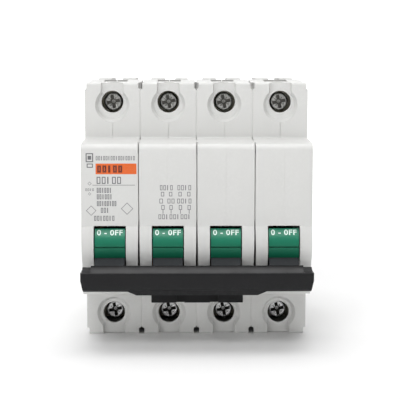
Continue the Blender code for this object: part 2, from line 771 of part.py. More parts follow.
def make_link_rod(shop):
    """Bent wire from the toggle's crank ear to the contact arm."""
    crank = polar(TOGGLE, CRANK_RADIUS, CRANK_ANGLE)
    pin = polar(ARM, ARM_PIN_RADIUS, ARM_REST)
    bend = 1.0
    ends = [(-1.5, crank), (LINK_X - bend, crank), (LINK_X, crank)]
    ends += [(LINK_X, pin), (LINK_X - bend, pin), (-1.4, pin)]
    toward = Vector((0, front(pin[0]) - front(crank[0]), pin[1] - crank[1])).normalized()
    points = [Vector((x, front(at[0]), at[1])) for x, at in ends]
    points[2] = points[2] + toward * bend
    points[3] = points[3] - toward * bend
    curve = bpy.data.curves.new("link_wire", "CURVE")
    curve.dimensions = "3D"
    curve.bevel_depth = LINK_RADIUS * MM
    curve.bevel_resolution = 2
    curve.use_fill_caps = True
    spline = curve.splines.new("POLY")
    spline.points.add(len(points) - 1)
    for point, place in zip(spline.points, points):
        point.co = (*(place * MM), 1.0)
    wire = bpy.data.objects.new("link_wire", curve)
    shop.tools.objects.link(wire)
    graph = bpy.context.evaluated_depsgraph_get()
    mesh = bpy.data.meshes.new_from_object(wire.evaluated_get(graph))
    bpy.data.objects.remove(wire, do_unlink=True)
    bm = bmesh.new()
    bm.from_mesh(mesh)
    bmesh.ops.remove_doubles(bm, verts=bm.verts, dist=1e-6)
    return mesh_from(bm, "link_rod")


def make_trip_bar(shop):
    """Common trip bar. In each pole one finger meets the plunger, one the bimetal."""
    half = POLES * PITCH / 2 - 0.5
    finger_depth = (TRIP[0] - 0.4, TRIP[0] + 0.7)
    fingers = {"plunger": ((-1.5, 1.5), 56.0), "bimetal": ((-6.3, -3.5), 47.5)}
    steps = []
    for pole in range(1, POLES + 1):
        x = pole_x(pole)
        for across, low in fingers.values():
            finger = box((x + across[0], x + across[1]), finger_depth, (low, TRIP[1]))
            steps.append(("UNION", finger))
    return shop.carve(rod_x(TRIP, TRIP_RADIUS, (-half, half), 12), steps)


def make_clip(shop):
    """Rail clip that slides in the foot of a pole and catches the rail's lower edge."""
    half = 4.1
    depth = (REAR + 1.2, -1.5)
    nose_edge = 0.4
    nose_slope = 2.0
    rib_half = 2.9
    rib_depth = (REAR + 0.1, depth[0] + 0.5)
    slot_half = 2.0
    slot_z = (CLIP_BOTTOM + 2.0, CLIP_BOTTOM + 3.6)
    body = [
        (depth[0], CLIP_BOTTOM),
        (depth[1], CLIP_BOTTOM),
        (depth[1], CLIP_TOP - nose_edge),
        (depth[1] - nose_edge, CLIP_TOP),
        (depth[0], CLIP_TOP - nose_slope),
    ]
    rib = box((-rib_half, rib_half), rib_depth, (CLIP_BOTTOM, RECESS_BOTTOM - 1.0))
    slot = box((-slot_half, slot_half), (REAR - PAST, depth[1] + PAST), slot_z)
    return shop.carve(prism(body, (-half, half)), [("UNION", rib), ("DIFFERENCE", slot)])


# ---------------------------------------------------------------- assembly


def build():
    shop = Shop()
    half = make_case_half(shop)
    shells = {"right": half, "left": mirrored(half)}
    toggle = make_toggle(shop)
    arm = make_contact_arm(shop)
    link = make_link_rod(shop)
    line = make_line_conductor(shop)
    load = make_load_conductor(shop)
    coil = make_coil(shop)
    chute = make_arc_chute(shop)
    clip = make_clip(shop)
    screws = {row: make_screw(shop, z) for row, z in SCREW_HEIGHTS.items()}
    cages = {row: make_cage(shop, z) for row, z in SCREW_HEIGHTS.items()}
    handle = bpy.data.objects.new("handle_axis", None)
    handle.location = Vector((0, front(TOGGLE[0]), TOGGLE[1])) * MM
    shop.parts.objects.link(handle)
    for pole in range(1, POLES + 1):
        x = pole_x(pole)
        for side, mesh in shells.items():
            shop.part(f"case_{side}_{pole}", mesh, "case_plastic", shift=x)
        shop.part(f"toggle_{pole}", toggle, "toggle_plastic", TOGGLE, x, handle)
        crank = polar(TOGGLE, CRANK_RADIUS, CRANK_ANGLE)
        shop.part(f"link_rod_{pole}", link, "rod_steel", crank, x, handle)
        shop.part(f"contact_arm_{pole}", arm, "copper", ARM, x)
        shop.part(f"line_conductor_{pole}", line, "copper", shift=x)
        shop.part(f"load_conductor_{pole}", load, "copper", shift=x)
        shop.part(f"trip_coil_{pole}", coil, "copper", shift=x)
        shop.part(f"arc_chute_{pole}", chute, "arc_steel", shift=x)
        shop.part(f"rail_clip_{pole}", clip, "clip_plastic", (REAR, CLIP_BOTTOM), x)
        for row, z in SCREW_HEIGHTS.items():
            shop.part(f"{row}_screw_{pole}", screws[row], "screw_steel", (HEAD_TOP, z), x)
            shop.part(f"{row}_cage_{pole}", cages[row], "cage_steel", (CAGE_FRONT, z), x)
    shop.part("handle_tie_bar", make_tie_bar(shop), "bar_plastic", TOGGLE, 0.0, handle)
    shop.part("trip_bar", make_trip_bar(shop), "trip_plastic", TRIP)
    reach = POLES * PITCH / 2 - 0.5
    for name, at in RIVETS.items():
        rivet = shop.carve(rod_x(at, RIVET_RADIUS, (-reach, reach), 12), [])
        shop.part(f"{name}_rivet", rivet, "rod_steel")


build()
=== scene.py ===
"""Looks of the four-pole circuit breaker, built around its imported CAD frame.

Side outlines are (depth, height) in millimetres, as in the CAD source: depth grows from
the rail's front face towards the user, who looks along +Y.
"""

from math import asin, atan2, cos, degrees, pi, radians, sin

import bmesh
import bpy
from mathutils import Matrix, Vector
from mathutils.geometry import interpolate_bezier


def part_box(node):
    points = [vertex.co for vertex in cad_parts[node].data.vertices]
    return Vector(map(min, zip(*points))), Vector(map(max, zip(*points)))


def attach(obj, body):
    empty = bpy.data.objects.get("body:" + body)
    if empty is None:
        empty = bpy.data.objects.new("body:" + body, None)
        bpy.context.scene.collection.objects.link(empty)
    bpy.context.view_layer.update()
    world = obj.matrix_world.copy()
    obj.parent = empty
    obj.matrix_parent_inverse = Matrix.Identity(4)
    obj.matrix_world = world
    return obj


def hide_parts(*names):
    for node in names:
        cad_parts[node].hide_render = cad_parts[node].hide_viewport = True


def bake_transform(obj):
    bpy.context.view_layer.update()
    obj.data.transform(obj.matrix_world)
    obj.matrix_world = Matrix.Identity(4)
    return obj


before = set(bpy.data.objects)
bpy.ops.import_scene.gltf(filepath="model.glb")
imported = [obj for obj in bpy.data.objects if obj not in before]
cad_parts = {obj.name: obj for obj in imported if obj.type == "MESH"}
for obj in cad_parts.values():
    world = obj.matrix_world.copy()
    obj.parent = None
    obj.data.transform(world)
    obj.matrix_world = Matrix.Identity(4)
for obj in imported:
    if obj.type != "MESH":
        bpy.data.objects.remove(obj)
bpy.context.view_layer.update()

MM = 0.001
POLES = (1, 2, 3, 4)
PAST = 1.0  # how far a cutting shape reaches beyond the face it cuts
ADD = "UNION"
CUT = "DIFFERENCE"
SHARP = 32  # angle in degrees above which an edge counts as sharp

# Places read from the frame, in millimetres
SHELL_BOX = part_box("case_right_1")
BAR_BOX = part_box("handle_tie_bar")
BAR_FRONT = 70.0
RAIL_Y = BAR_FRONT + BAR_BOX[0].y / MM
HALF_WIDTH = (SHELL_BOX[1].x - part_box("case_left_1")[0].x) / MM / 2
REAR = RAIL_Y - SHELL_BOX[1].y / MM
TOP_LAND = 1.5
HEIGHT = SHELL_BOX[1].z / MM - TOP_LAND

# Case outline
SHOULDER = 44.0
FACE = 60.0
NOSE_BOTTOM = 16.0
NOSE_TOP = 64.3
WINDOW_TOP = 38.0
WINDOW_BOTTOM = 23.2
WINDOW_HALF = 5.0
BULGE_RADIUS = 14.0
BULGE_LIFT = 2.3
FRONT_WALL = 2.4
SIDE_WALL = 1.3
INNER = HALF_WIDTH - SIDE_WALL
WALL = 1.6
RECESS_BOTTOM = 21.0
HOOK_TOP = 59.6
HOOK_TIP = 56.6
HOOK_FRONT = -1.4
HOOK_SLOPE = 1.6
SEAT_TOP = 56.0
SEAT_BOTTOM = 25.0
SEAT_STEP = 0.4

# Handle
TOGGLE = (51.5, 31.0)
DRUM_RADIUS = 9.6
DRUM_HALF = 4.6
DRUM_GAP = 0.4
FIELD_RADIUS = 6.0
INDICATOR_HALF = 4.75
LEVER_REST = -31.0
LEVER_END = 16.4
GREEN_LOW = -18.6
GREEN_HIGH = 39.5
GROOVE_ANGLE = 2.7
LEGEND_HEIGHT = 35.9
BAR_HALF = 35.4
BAR_FOOT = 19.1
BAR_DIP = 18.1
LUG_BOTTOM = 15.3
BAR_TOP = 26.6
BAR_REAR = 64.0
CREST_FOOT = 24.0
CREST_RISE = 0.3

# Mechanism
ARM = (31.0, 27.0)
ARM_REST = 77.0
COIL_Z = 58.3
COIL_REAR = 10.0
COIL_FORE = 25.0
YOKE_PLATE = 1.2
PLUNGER_TIP = 38.4
TRIP = (39.5, 64.5)
RIVETS = ((5.2, 66.5), (34.5, 19.5))

# Terminals
SCREW_HEIGHTS = {"upper": 75.9, "lower": 6.9}
SCREW_HOLE = 3.5
NOTCH_BITE = {"upper": 0.55, "lower": 0.75}
RING_DROP = {"upper": 1.0, "lower": 0.0}
RECESS_DEPTH = 1.5
HEAD_TOP = 38.0
CROSS_DEPTH = 1.5


# -------- geometry


def front(depth):
    """World Y, in millimetres, of a depth."""
    return RAIL_Y - depth


def pole_x(pole):
    """World X, in millimetres, of a pole's middle."""
    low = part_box(f"case_left_{pole}")[0].x
    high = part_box(f"case_right_{pole}")[1].x
    return (low + high) / 2 / MM


def arc(centre, radius, start, end, steps):
    """Side points on an arc, with angles in degrees from the front direction."""
    angles = [radians(start + (end - start) * i / steps) for i in range(steps + 1)]
    return [(centre[0] + radius * cos(a), centre[1] + radius * sin(a)) for a in angles]


def polar(centre, radius, angle):
    """Side point at a radius and an angle in degrees from the front direction."""
    a = radians(angle)
    return (centre[0] + radius * cos(a), centre[1] + radius * sin(a))


def turned(centre, point, angle):
    """A side point turned about a centre by an angle in degrees."""
    d = point[0] - centre[0]
    z = point[1] - centre[1]
    a = radians(angle)
    return (centre[0] + d * cos(a) - z * sin(a), centre[1] + d * sin(a) + z * cos(a))


def rectangle(a, b):
    return [(a[0], b[0]), (a[1], b[0]), (a[1], b[1]), (a[0], b[1])]


def new_object(name, mesh):
    obj = bpy.data.objects.new(name, mesh)
    bpy.context.scene.collection.objects.link(obj)
    return obj


def mesh_from(bm, name="mesh"):
    mesh = bpy.data.meshes.new(name)
    bmesh.ops.recalc_face_normals(bm, faces=bm.faces)
    bm.to_mesh(mesh)
    bm.free()
    return mesh


def extruded(points, vector):
    """A bmesh solid: a closed ring of points in millimetres, swept by a vector."""
    bm = bmesh.new()
    face = bm.faces.new([bm.verts.new(Vector(p) * MM) for p in points])
    made = bmesh.ops.extrude_face_region(bm, geom=[face])["geom"]
    moved = [v for v in made if isinstance(v, bmesh.types.BMVert)]
    bmesh.ops.translate(bm, verts=moved, vec=Vector(vector) * MM)
    bmesh.ops.recalc_face_normals(bm, faces=bm.faces)
    return bm


def prism(outline, x):
    """A side outline extruded from x[0] to x[1]."""
    return extruded([(x[0], front(d), z) for d, z in outline], (x[1] - x[0], 0, 0))


def plate(outline, depth):
    """A front outline of (x, height), extruded between two depths."""
    return extruded([(x, front(depth[0]), z) for x, z in outline], (0, depth[0] - depth[1], 0))


def block(x, depth, z):
    return prism(rectangle(depth, z), x)


def rod_x(centre, radius, x, sides=48):
    return prism(arc(centre, radius, 0, 360 * (1 - 1 / sides), sides - 1), x)


def cone_y(x, z, depths, radii, sides=64):
    """A turned solid along Y. Depths and radii are its stations, rear to front."""
    bm = bmesh.new()
    rings = []
    for depth, radius in zip(depths, radii):
        ring = []
        for i in range(sides):
            a = 2 * pi * i / sides
            at = Vector((x + radius * cos(a), front(depth), z + radius * sin(a)))
            ring.append(bm.verts.new(at * MM))
        rings.append(ring)
    for low, high in zip(rings, rings[1:]):
        for i in range(sides):
            j = (i + 1) % sides
            bm.faces.new((low[i], low[j], high[j], high[i]))
    bm.faces.new(rings[0])
    bm.faces.new(rings[-1])
    bmesh.ops.recalc_face_normals(bm, faces=bm.faces)
    return bm


def rounded(bm, width, segments=2, chosen=None):
    """Rounds the chosen edges of a bmesh, or all sharp ones."""
    edges = []
    for edge in bm.edges:
        if len(edge.link_faces) != 2:
            continue
        if edge.calc_face_angle(0) > radians(SHARP) and (chosen is None or chosen(edge)):
            edges.append(edge)
    bmesh.ops.bevel(
        bm,
        geom=edges,
        offset=width * MM,
        segments=segments,
        profile=0.6,
        affect="EDGES",
        clamp_overlap=True,
    )
    return bm


def carve(bm, steps):
    """The mesh left when (operation, bmesh) steps are applied in order."""
    body = new_object("carved", mesh_from(bm))
    used = [body]
    for operation, other in steps:
        tool = new_object("tool", mesh_from(other))
        used.append(tool)
        modifier = body.modifiers.new(operation.lower(), "BOOLEAN")
        modifier.operation = operation
        modifier.object = tool
    graph = bpy.context.evaluated_depsgraph_get()
    mesh = bpy.data.meshes.new_from_object(body.evaluated_get(graph))
    for obj in used:
        bpy.data.objects.remove(obj, do_unlink=True)
    return mesh


def place_piece(name, mesh, material, shift=0.0):
    """Places a piece and gives it smooth shading and a material, named by its key."""
    obj = new_object(name, mesh)
    obj.location.x = shift * MM
    mesh.materials.clear()
    mesh.materials.append(MATERIAL[material])
    mesh.shade_smooth()
    mesh.set_sharp_from_angle(angle=radians(SHARP))
    return obj


def finish_piece(name, mesh, material, body, shift=0.0, replaces=()):
    """Places a piece, weights its normals, and rides it on its body."""
    obj = place_piece(name, mesh, material, shift)
    weighted = obj.modifiers.new("normals", "WEIGHTED_NORMAL")
    weighted.keep_sharp = True
    if replaces:
        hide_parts(*replaces)
    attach(obj, body)
    return obj


# -------- materials


def linear(srgb):
    """Linear colour of an 8-bit display colour."""
    values = [c / 255 for c in srgb]
    return [c / 12.92 if c <= 0.04045 else ((c + 0.055) / 1.055) ** 2.4 for c in values]


class Nodes:
    """Short names for building one node material."""

    def __init__(self, name):
        self.open(bpy.data.materials.new(name))

    @classmethod
    def reopen(cls, material):
        nodes = cls.__new__(cls)
        nodes.open(material)
        return nodes

    def open(self, material):
        self.material = material
        self.material.use_nodes = True
        self.tree = self.material.node_tree
        self.shader = self.tree.nodes["Principled BSDF"]
        self.place = self.add("ShaderNodeTexCoord").outputs["Object"]

    def add(self, kind, **values):
        node = self.tree.nodes.new(kind)
        for key, value in values.items():
            setattr(node, key, value)
        return node

    def link(self, source, target):
        self.tree.links.new(source, target)

    def set(self, name, value):
        """Gives a shader input a value, or feeds it from a socket."""
        target = self.shader.inputs[name]
        if hasattr(value, "is_output"):
            self.link(value, target)
        else:
            target.default_value = value

    def noise(self, size, detail=3.0, stretch=None):
        """Noise whose features are about size millimetres across."""
        node = self.add("ShaderNodeTexNoise")
        node.inputs["Scale"].default_value = 1 / (size * MM)
        node.inputs["Detail"].default_value = detail
        source = self.place
        if stretch:
            mapping = self.add("ShaderNodeMapping")
            mapping.inputs["Scale"].default_value = stretch
            self.link(source, mapping.inputs["Vector"])
            source = mapping.outputs["Vector"]
        self.link(source, node.inputs["Vector"])
        return node.outputs["Fac"]

    def ramp(self, source, low, high, start=0.35, end=0.65):
        """Maps a factor between two values."""
        node = self.add("ShaderNodeMapRange")
        node.inputs["From Min"].default_value = start
        node.inputs["From Max"].default_value = end
        node.inputs["To Min"].default_value = low
        node.inputs["To Max"].default_value = high
        self.link(source, node.inputs["Value"])
        return node.outputs["Result"]

    def axes(self):
        """The X, Y and Z sockets of the place on the piece."""
        split = self.add("ShaderNodeSeparateXYZ")
        self.link(self.place, split.inputs["Vector"])
        return split.outputs

    def product(self, first, second):
        node = self.add("ShaderNodeMath", operation="MULTIPLY")
        self.link(first, node.inputs[0])
        self.link(second, node.inputs[1])
        return node.outputs["Value"]

    def blend(self, factor, first, second):
        node = self.add("ShaderNodeMix", data_type="RGBA")
        for socket, value in ((node.inputs["A"], first), (node.inputs["B"], second)):
            if hasattr(value, "is_output"):
                self.link(value, socket)
            else:
                socket.default_value = (*value, 1.0)
        self.link(factor, node.inputs["Factor"])
        return node.outputs["Result"]

    def bump(self, layers):
        """Chains bump nodes for (height source, height in millimetres, strength)."""
        normal = None
        for source, height, strength in layers:
            node = self.add("ShaderNodeBump")
            node.inputs["Distance"].default_value = height * MM
            node.inputs["Strength"].default_value = strength
            self.link(source, node.inputs["Height"])
            if normal is not None:
                self.link(normal, node.inputs["Normal"])
            normal = node.outputs["Normal"]
        self.set("Normal", normal)


def edge_wear(nodes, colour, worn):
    """Blends towards a worn colour in scuffs along convex edges."""
    geometry = nodes.add("ShaderNodeNewGeometry")
    scuffs = nodes.ramp(nodes.noise(0.9, 4.0), 0.0, 1.0, 0.45, 0.7)
    edge = nodes.ramp(geometry.outputs["Pointiness"], 0.0, 1.0, 0.52, 0.62)
    return nodes.blend(nodes.product(edge, scuffs), colour, worn)


def plastic(name, srgb, roughness, grain=0.2, relief=0.004, spread=0.012, gloss=0.5, wear=0.03):
    """Moulded plastic: spark-eroded grain, faint clouding, a few long handling marks."""
    nodes = Nodes(name)
    base = linear(srgb)
    pale = [min(1.0, c * (1 + spread)) for c in base]
    dim = [c * (1 - spread) for c in base]
    colour = nodes.blend(nodes.ramp(nodes.noise(14.0, 4.0), 0.0, 1.0), dim, pale)
    colour = edge_wear(nodes, colour, [min(1.0, c * (1 + wear) + wear * 0.2) for c in base])
    nodes.set("Base Color", colour)
    nodes.set("Roughness", nodes.ramp(nodes.noise(3.0, 4.0), roughness - 0.05, roughness + 0.05))
    nodes.set("Specular IOR Level", gloss)
    marks = nodes.noise(0.35, 2.0, stretch=(1.0, 1.0, 0.05))
    nodes.bump([(nodes.noise(grain, 2.0), relief, 0.5), (marks, relief * 0.6, 0.2)])
    return nodes.material


def plastic_with_painted_light(name, srgb, other, heights, roughness, gloss, other_gloss, **grain):
    """Plastic with painted light and shade along Z: the other colour and gloss at heights[0], the
    first at heights[1].
    """
    material = plastic(name, srgb, roughness, gloss=gloss, **grain)
    nodes = Nodes.reopen(material)
    source = nodes.shader.inputs["Base Color"].links[0].from_socket
    up = nodes.axes()["Z"]
    low, high = heights
    # Painted light and shade: the base colour blends from the other colour to the first with
    # height.
    share = nodes.ramp(up, 0.0, 1.0, low * MM, high * MM)
    nodes.set("Base Color", nodes.blend(share, linear(other), source))
    sheen = nodes.ramp(up, other_gloss, gloss, low * MM, high * MM)
    nodes.set("Specular IOR Level", sheen)
    return material


def metal(name, srgb, roughness, brush=(1.0, 1.0, 0.04), relief=0.006, stain=None):
    """Plated or bare metal: directional brushing, cloudy plating, small pits."""
    nodes = Nodes(name)
    base = linear(srgb)
    dull = linear(stain) if stain else [c * 0.7 for c in base]
    colour = nodes.blend(nodes.ramp(nodes.noise(2.4, 5.0), 0.0, 1.0, 0.4, 0.72), base, dull)
    nodes.set("Base Color", colour)
    nodes.set("Metallic", 1.0)
    streaks = nodes.noise(0.25, 3.0, stretch=brush)
    nodes.set("Roughness", nodes.ramp(streaks, roughness - 0.08, roughness + 0.1))
    pits = nodes.noise(0.4, 3.0)
    nodes.bump([(streaks, relief, 0.35), (pits, relief, 0.2)])
    return nodes.material


def screw_metal_with_painted_shade(name, bright, deep):
    """Zinc-plated steel, with painted shade inside the recess of the head."""
    nodes = Nodes(name)
    back = nodes.axes()["Y"]
    top = front(HEAD_TOP) * MM
    floor = top + CROSS_DEPTH * MM
    below_top = nodes.ramp(back, 0.0, 1.0, top + 0.1 * MM, top + 0.6 * MM)
    above_floor = nodes.ramp(back, 1.0, 0.0, floor, floor + 0.2 * MM)
    recess = nodes.product(below_top, above_floor)
    cloud = nodes.ramp(nodes.noise(0.5, 4.0), 0.0, 1.0, 0.35, 0.65)
    plated = nodes.blend(cloud, linear(bright), [c * 0.4 for c in linear(bright)])
    # Painted shade: the recess of the head takes the deep colour.
    colour = nodes.blend(recess, plated, linear(deep))
    nodes.set("Base Color", colour)
    nodes.set("Metallic", 1.0)
    nodes.set("Roughness", nodes.ramp(nodes.noise(0.7, 3.0), 0.28, 0.45))
    nodes.bump([(nodes.noise(0.5, 3.0), 0.02, 0.5)])
    return nodes.material


def ink(name, srgb, roughness=0.5):
    """Pad-printed ink: slightly uneven coverage."""
    nodes = Nodes(name)
    base = linear(srgb)
    thin = [c + (0.55 - c) * 0.05 for c in base]
    patchy = nodes.ramp(nodes.noise(0.35, 3.0), 0.0, 1.0, 0.4, 0.75)
    nodes.set("Base Color", nodes.blend(patchy, base, thin))
    nodes.set("Roughness", nodes.ramp(nodes.noise(0.8, 2.0), roughness - 0.08, roughness + 0.08))
    nodes.bump([(nodes.noise(0.15, 2.0), 0.003, 0.3)])
    return nodes.material


def make_materials():
    dark = {"grain": 0.22, "relief": 0.008, "spread": 0.05}
    smooth = {"relief": 0.002, "spread": 0.02}
    upright = (1.0, 1.0, 0.05)
    across = (1.0, 0.05, 1.0)
    along = (0.04, 1.0, 1.0)
    plaited = (0.3, 1.0, 0.3)
    even = (1.0, 1.0, 1.0)
    # Painted shade: the green darkens from 35 mm down to 28 mm, and loses its gloss.
    green = ((33, 129, 100), (17, 82, 60), (28, 35))
    # Painted light and shade: the crest is painted dark at its top and lighter at its lower edge.
    crest = ((7, 7, 8), (20, 20, 22), (25.6, 27.1))
    return {
        "case": plastic("case_grey", (211, 211, 209), 0.46),
        "green": plastic_with_painted_light("indicator_green_painted_shade", *green, 0.34, 0.45, 0.0, **smooth),
        "lever": plastic("lever_grey", (46, 48, 51), 0.42, gloss=0.2, **dark),
        "bar": plastic("bar_grey", (17, 17, 19), 0.4, gloss=0.28, **dark),
        "crest": plastic_with_painted_light("crest_grey_painted_light", *crest, 0.36, 0.1, 0.34, **dark),
        "lug": plastic("lug_grey", (20, 20, 21), 0.5, gloss=0.15, **dark),
        "clip": plastic("clip_black", (42, 42, 44), 0.5, **dark),
        "trip": plastic("trip_natural", (222, 216, 196), 0.5),
        # Painted light and shade: one zinc, the upper row painted darker, the lower row painted
        # brighter with deeper painted shade in its cross.
        "screw_upper": screw_metal_with_painted_shade("screw_zinc_painted_shade", (214, 214, 210), (96, 95, 91)),
        "screw_lower": screw_metal_with_painted_shade("screw_zinc", (246, 246, 246), (30, 29, 27)),
        "cage": metal("cage_zinc", (200, 196, 184), 0.36, across, stain=(168, 160, 132)),
        "copper": metal("copper_strip", (214, 150, 116), 0.32, upright, stain=(150, 92, 62)),
        "winding": metal("enamelled_wire", (186, 96, 54), 0.25, even, stain=(160, 78, 42)),
        "steel": metal("plain_steel", (150, 150, 152), 0.4, across, stain=(132, 130, 126)),
        "braid": metal("copper_braid", (196, 120, 84), 0.45, plaited, 0.03, (120, 66, 40)),
        "rod": metal("rod_steel", (176, 176, 178), 0.3, along),
        "silver": metal("silver_tip", (226, 226, 224), 0.3, stain=(200, 198, 192)),
        "print": ink("print_grey", (104, 104, 107)),
        "faint": ink("print_faint", (128, 128, 130)),
        "orange": ink("print_orange", (222, 98, 24), 0.45),
        "brown": ink("print_brown", (104, 34, 8), 0.45),
        "white": ink("legend_white", (226, 244, 236), 0.45),
    }


MATERIAL = make_materials()


# -------- case shells


def pole_end(row):
    """Which way an end of the pole faces, 1 up or -1 down, and its height."""
    return (1, HEIGHT) if row == "upper" else (-1, 0.0)


def bulge_arc(steps):
    """The swelling of the face beside the toggle window, from its upper end down."""
    middle = (WINDOW_TOP + WINDOW_BOTTOM + BULGE_LIFT) / 2
    rise = WINDOW_TOP - middle
    centre = (FACE - (BULGE_RADIUS**2 - rise**2) ** 0.5, middle)
    span = degrees(atan2(rise, FACE - centre[0]))
    return arc(centre, BULGE_RADIUS, span, -span, steps)


def case_outline():
    """Side outline of a pole: from the clip recess round the foot, front, top and back."""
    edge = 0.8
    foot_fillet = 0.5
    chin_round = 0.9
    chin_back = 2.7
    nose_round = 2.2
    nose_drop = 0.8
    brow_fillet = 0.6
    slope_start = 30.0
    slope_end = 17.3
    slope_rise = 0.9
    land_corner = 0.2
    recess_corner = 0.3
    land = HEIGHT + TOP_LAND
    points = [(REAR, RECESS_BOTTOM - recess_corner), (REAR, edge)]
    points += arc((REAR + edge, edge), edge, 180, 270, 5)[1:]
    points += arc((SHOULDER - edge, edge), edge, 270, 360, 5)
    points += arc((SHOULDER + foot_fillet, NOSE_BOTTOM - foot_fillet), foot_fillet, 180, 90, 3)
    points += arc((FACE - chin_back, NOSE_BOTTOM + chin_round), chin_round, 270, 352, 5)
    points += bulge_arc(24)[::-1]
    round_centre = (FACE - nose_round, NOSE_TOP - nose_drop - nose_round)
    points += arc(round_centre, nose_round, 0, 87, 9)
    points += arc((SHOULDER + brow_fillet, NOSE_TOP + brow_fillet), brow_fillet, 270, 180, 3)
    points += arc((SHOULDER - edge, HEIGHT - edge), edge, 0, 90, 6)
    points += [(slope_start, HEIGHT), (slope_end, HEIGHT + slope_rise)]
    points += [(slope_end - land_corner, land - land_corner), (slope_end - 2 * land_corner, land)]
    points += arc((REAR + edge, land - edge), edge, 90, 180, 5)
    points += [(REAR, HOOK_TIP + HOOK_SLOPE), (REAR + HOOK_SLOPE, HOOK_TIP)]
    points += [(HOOK_FRONT, HOOK_TIP), (HOOK_FRONT, HOOK_TOP), (SEAT_STEP, HOOK_TOP)]
    points += [(SEAT_STEP, SEAT_TOP), (0, SEAT_TOP), (0, SEAT_BOTTOM)]
    points += [(SEAT_STEP, SEAT_BOTTOM), (SEAT_STEP, RECESS_BOTTOM)]
    points += [(REAR + recess_corner, RECESS_BOTTOM)]
    return points


def case_cavities():
    """Side outlines of a pole's hollows: the mechanism space, then two spaces per end."""
    front_in = SHOULDER - FRONT_WALL
    face_in = FACE - 1.8
    chin_in = FACE - 4.2
    brow_in = FACE - 3.6
    floor = 12.9
    ceiling = 70.1
    partition = 1.2
    mechanism = [
        (WALL, floor),
        (front_in, floor),
        (front_in, NOSE_BOTTOM + WALL),
        (chin_in, NOSE_BOTTOM + WALL),
        (face_in, NOSE_BOTTOM + 3.2),
        (face_in, NOSE_TOP - 4.6),
        (brow_in, NOSE_TOP - 2.8),
        (front_in, NOSE_TOP - 2.0),
        (front_in, ceiling),
        (WALL, ceiling),
    ]
    upper = (ceiling + partition, HEIGHT - WALL)
    lower = (WALL, floor - partition)
    cage_rear = 14.9
    cage_depth = (cage_rear, front_in)
    rear_front = cage_rear - partition
    return [
        mechanism,
        rectangle(cage_depth, upper),
        rectangle(cage_depth, lower),
        rectangle((REAR + WALL, rear_front), upper),
        rectangle((0.6, rear_front), lower),
    ]


def keyhole(row, z):
    """Recess round a screw hole, its channel to the pole's end, and the hole itself."""
    sign, edge = pole_end(row)
    floor = SHOULDER - RECESS_DEPTH
    ring_depths = (floor, SHOULDER - 0.12, SHOULDER, SHOULDER + 0.5)
    ring_radii = (4.55, 5.36, 5.5, 6.3)
    ring = cone_y(0, z - RING_DROP[row], ring_depths, ring_radii, 96)
    half = 3.35
    splay_half = 3.7
    splay_front = front(SHOULDER + 0.3)
    low, high = sorted((z + 1.5 * sign, edge + 1.5 * sign))
    channel = block((-half, half), (floor, SHOULDER + PAST), (low, high))
    splay_ring = [
        (-half, front(floor), low),
        (half, front(floor), low),
        (splay_half, splay_front, low),
        (-splay_half, splay_front, low),
    ]
    splay = extruded(splay_ring, (0, 0, high - low))
    chamfer = 0.22
    bore_depths = (SHOULDER - FRONT_WALL - PAST, floor - 0.2, floor + 0.02)
    bore = cone_y(0, z, bore_depths, (SCREW_HOLE, SCREW_HOLE, SCREW_HOLE + chamfer))
    return [ring, channel, splay, bore]


def wire_mouth(row):
    """Funnelled wire entry in the pole's end face, and the slot for a comb bar."""
    sign, edge = pole_end(row)
    half = 3.9
    wide_half = 4.7
    rear, fore = 18.1, 26.1
    wide_rear, wide_fore = 17.3, 26.9
    beyond = edge + 0.05 * sign
    throat = edge - 0.8 * sign
    hole = block((-half, half), (rear, fore), sorted((edge - 3.5 * sign, edge + 3.0 * sign)))
    funnel = [(wide_rear, beyond), (wide_fore, beyond), (fore, throat), (rear, throat)]
    comb = block((-1.6, 1.6), (29.0, 38.5), sorted((edge - 1.1 * sign, edge + PAST * sign)))
    return [hole, prism(funnel, (-wide_half, wide_half)), comb]


def corner_notches(row):
    """Notches beside the wire channel at one end of the pole, with a rounded inner end."""
    sign, edge = pole_end(row)
    inner = edge - 2.1 * sign
    z = sorted((inner, edge + 3.0 * sign))

    def inner_end(line):
        return all(abs(v.co.z - inner * MM) < 1e-6 for v in line.verts)

    cuts = []
    for side in (-1, 1):
        x = sorted((side * (HALF_WIDTH - NOTCH_BITE[row]), side * (HALF_WIDTH + PAST)))
        cuts.append(rounded(block(x, (SHOULDER - 14, SHOULDER + PAST), z), 0.4, 3, inner_end))
    return cuts


def cheek_draft():
    """Wedges that let the gap between two poles widen beside the toggles."""
    draft = 0.24
    top = WINDOW_TOP + 0.5
    full = 26.0
    foot = NOSE_BOTTOM - PAST
    wedges = []
    for side in (-1, 1):
        beyond = side * (HALF_WIDTH + PAST)
        cheek = side * (HALF_WIDTH - draft)
        outline = [(beyond, foot), (beyond, top), (side * HALF_WIDTH, top)]
        outline += [(cheek, full), (cheek, foot)]
        wedges.append(plate(outline, (FACE - 8, FACE + 3)))
    return wedges


def seam_lines():
    """The hairline where the two shells of a pole meet, on the shoulders and ends."""
    x = (-0.05, 0.05)
    cut = 0.15
    shoulder = (SHOULDER - cut, SHOULDER + PAST)
    end = (REAR - PAST, SHOULDER)
    return [
        block(x, shoulder, (NOSE_TOP, HEIGHT + 2)),
        block(x, shoulder, (-PAST, NOSE_BOTTOM)),
        block(x, end, (HEIGHT - cut, HEIGHT + 3)),
        block(x, end, (-PAST, cut)),
    ]


def foot_cuts():
    """Finger lip at the front of the foot, and the rail clip's T-shaped track behind."""
    track_z = (-PAST, RECESS_BOTTOM + PAST)
    return [
        block((-3.5, 3.5), (SHOULDER - 8, SHOULDER + PAST), (-PAST, 0.2)),
        block((-3.3, 3.3), (REAR - PAST, REAR + 1.2), track_z),
        block((-4.5, 4.5), (REAR + 0.9, -1.1), track_z),
    ]


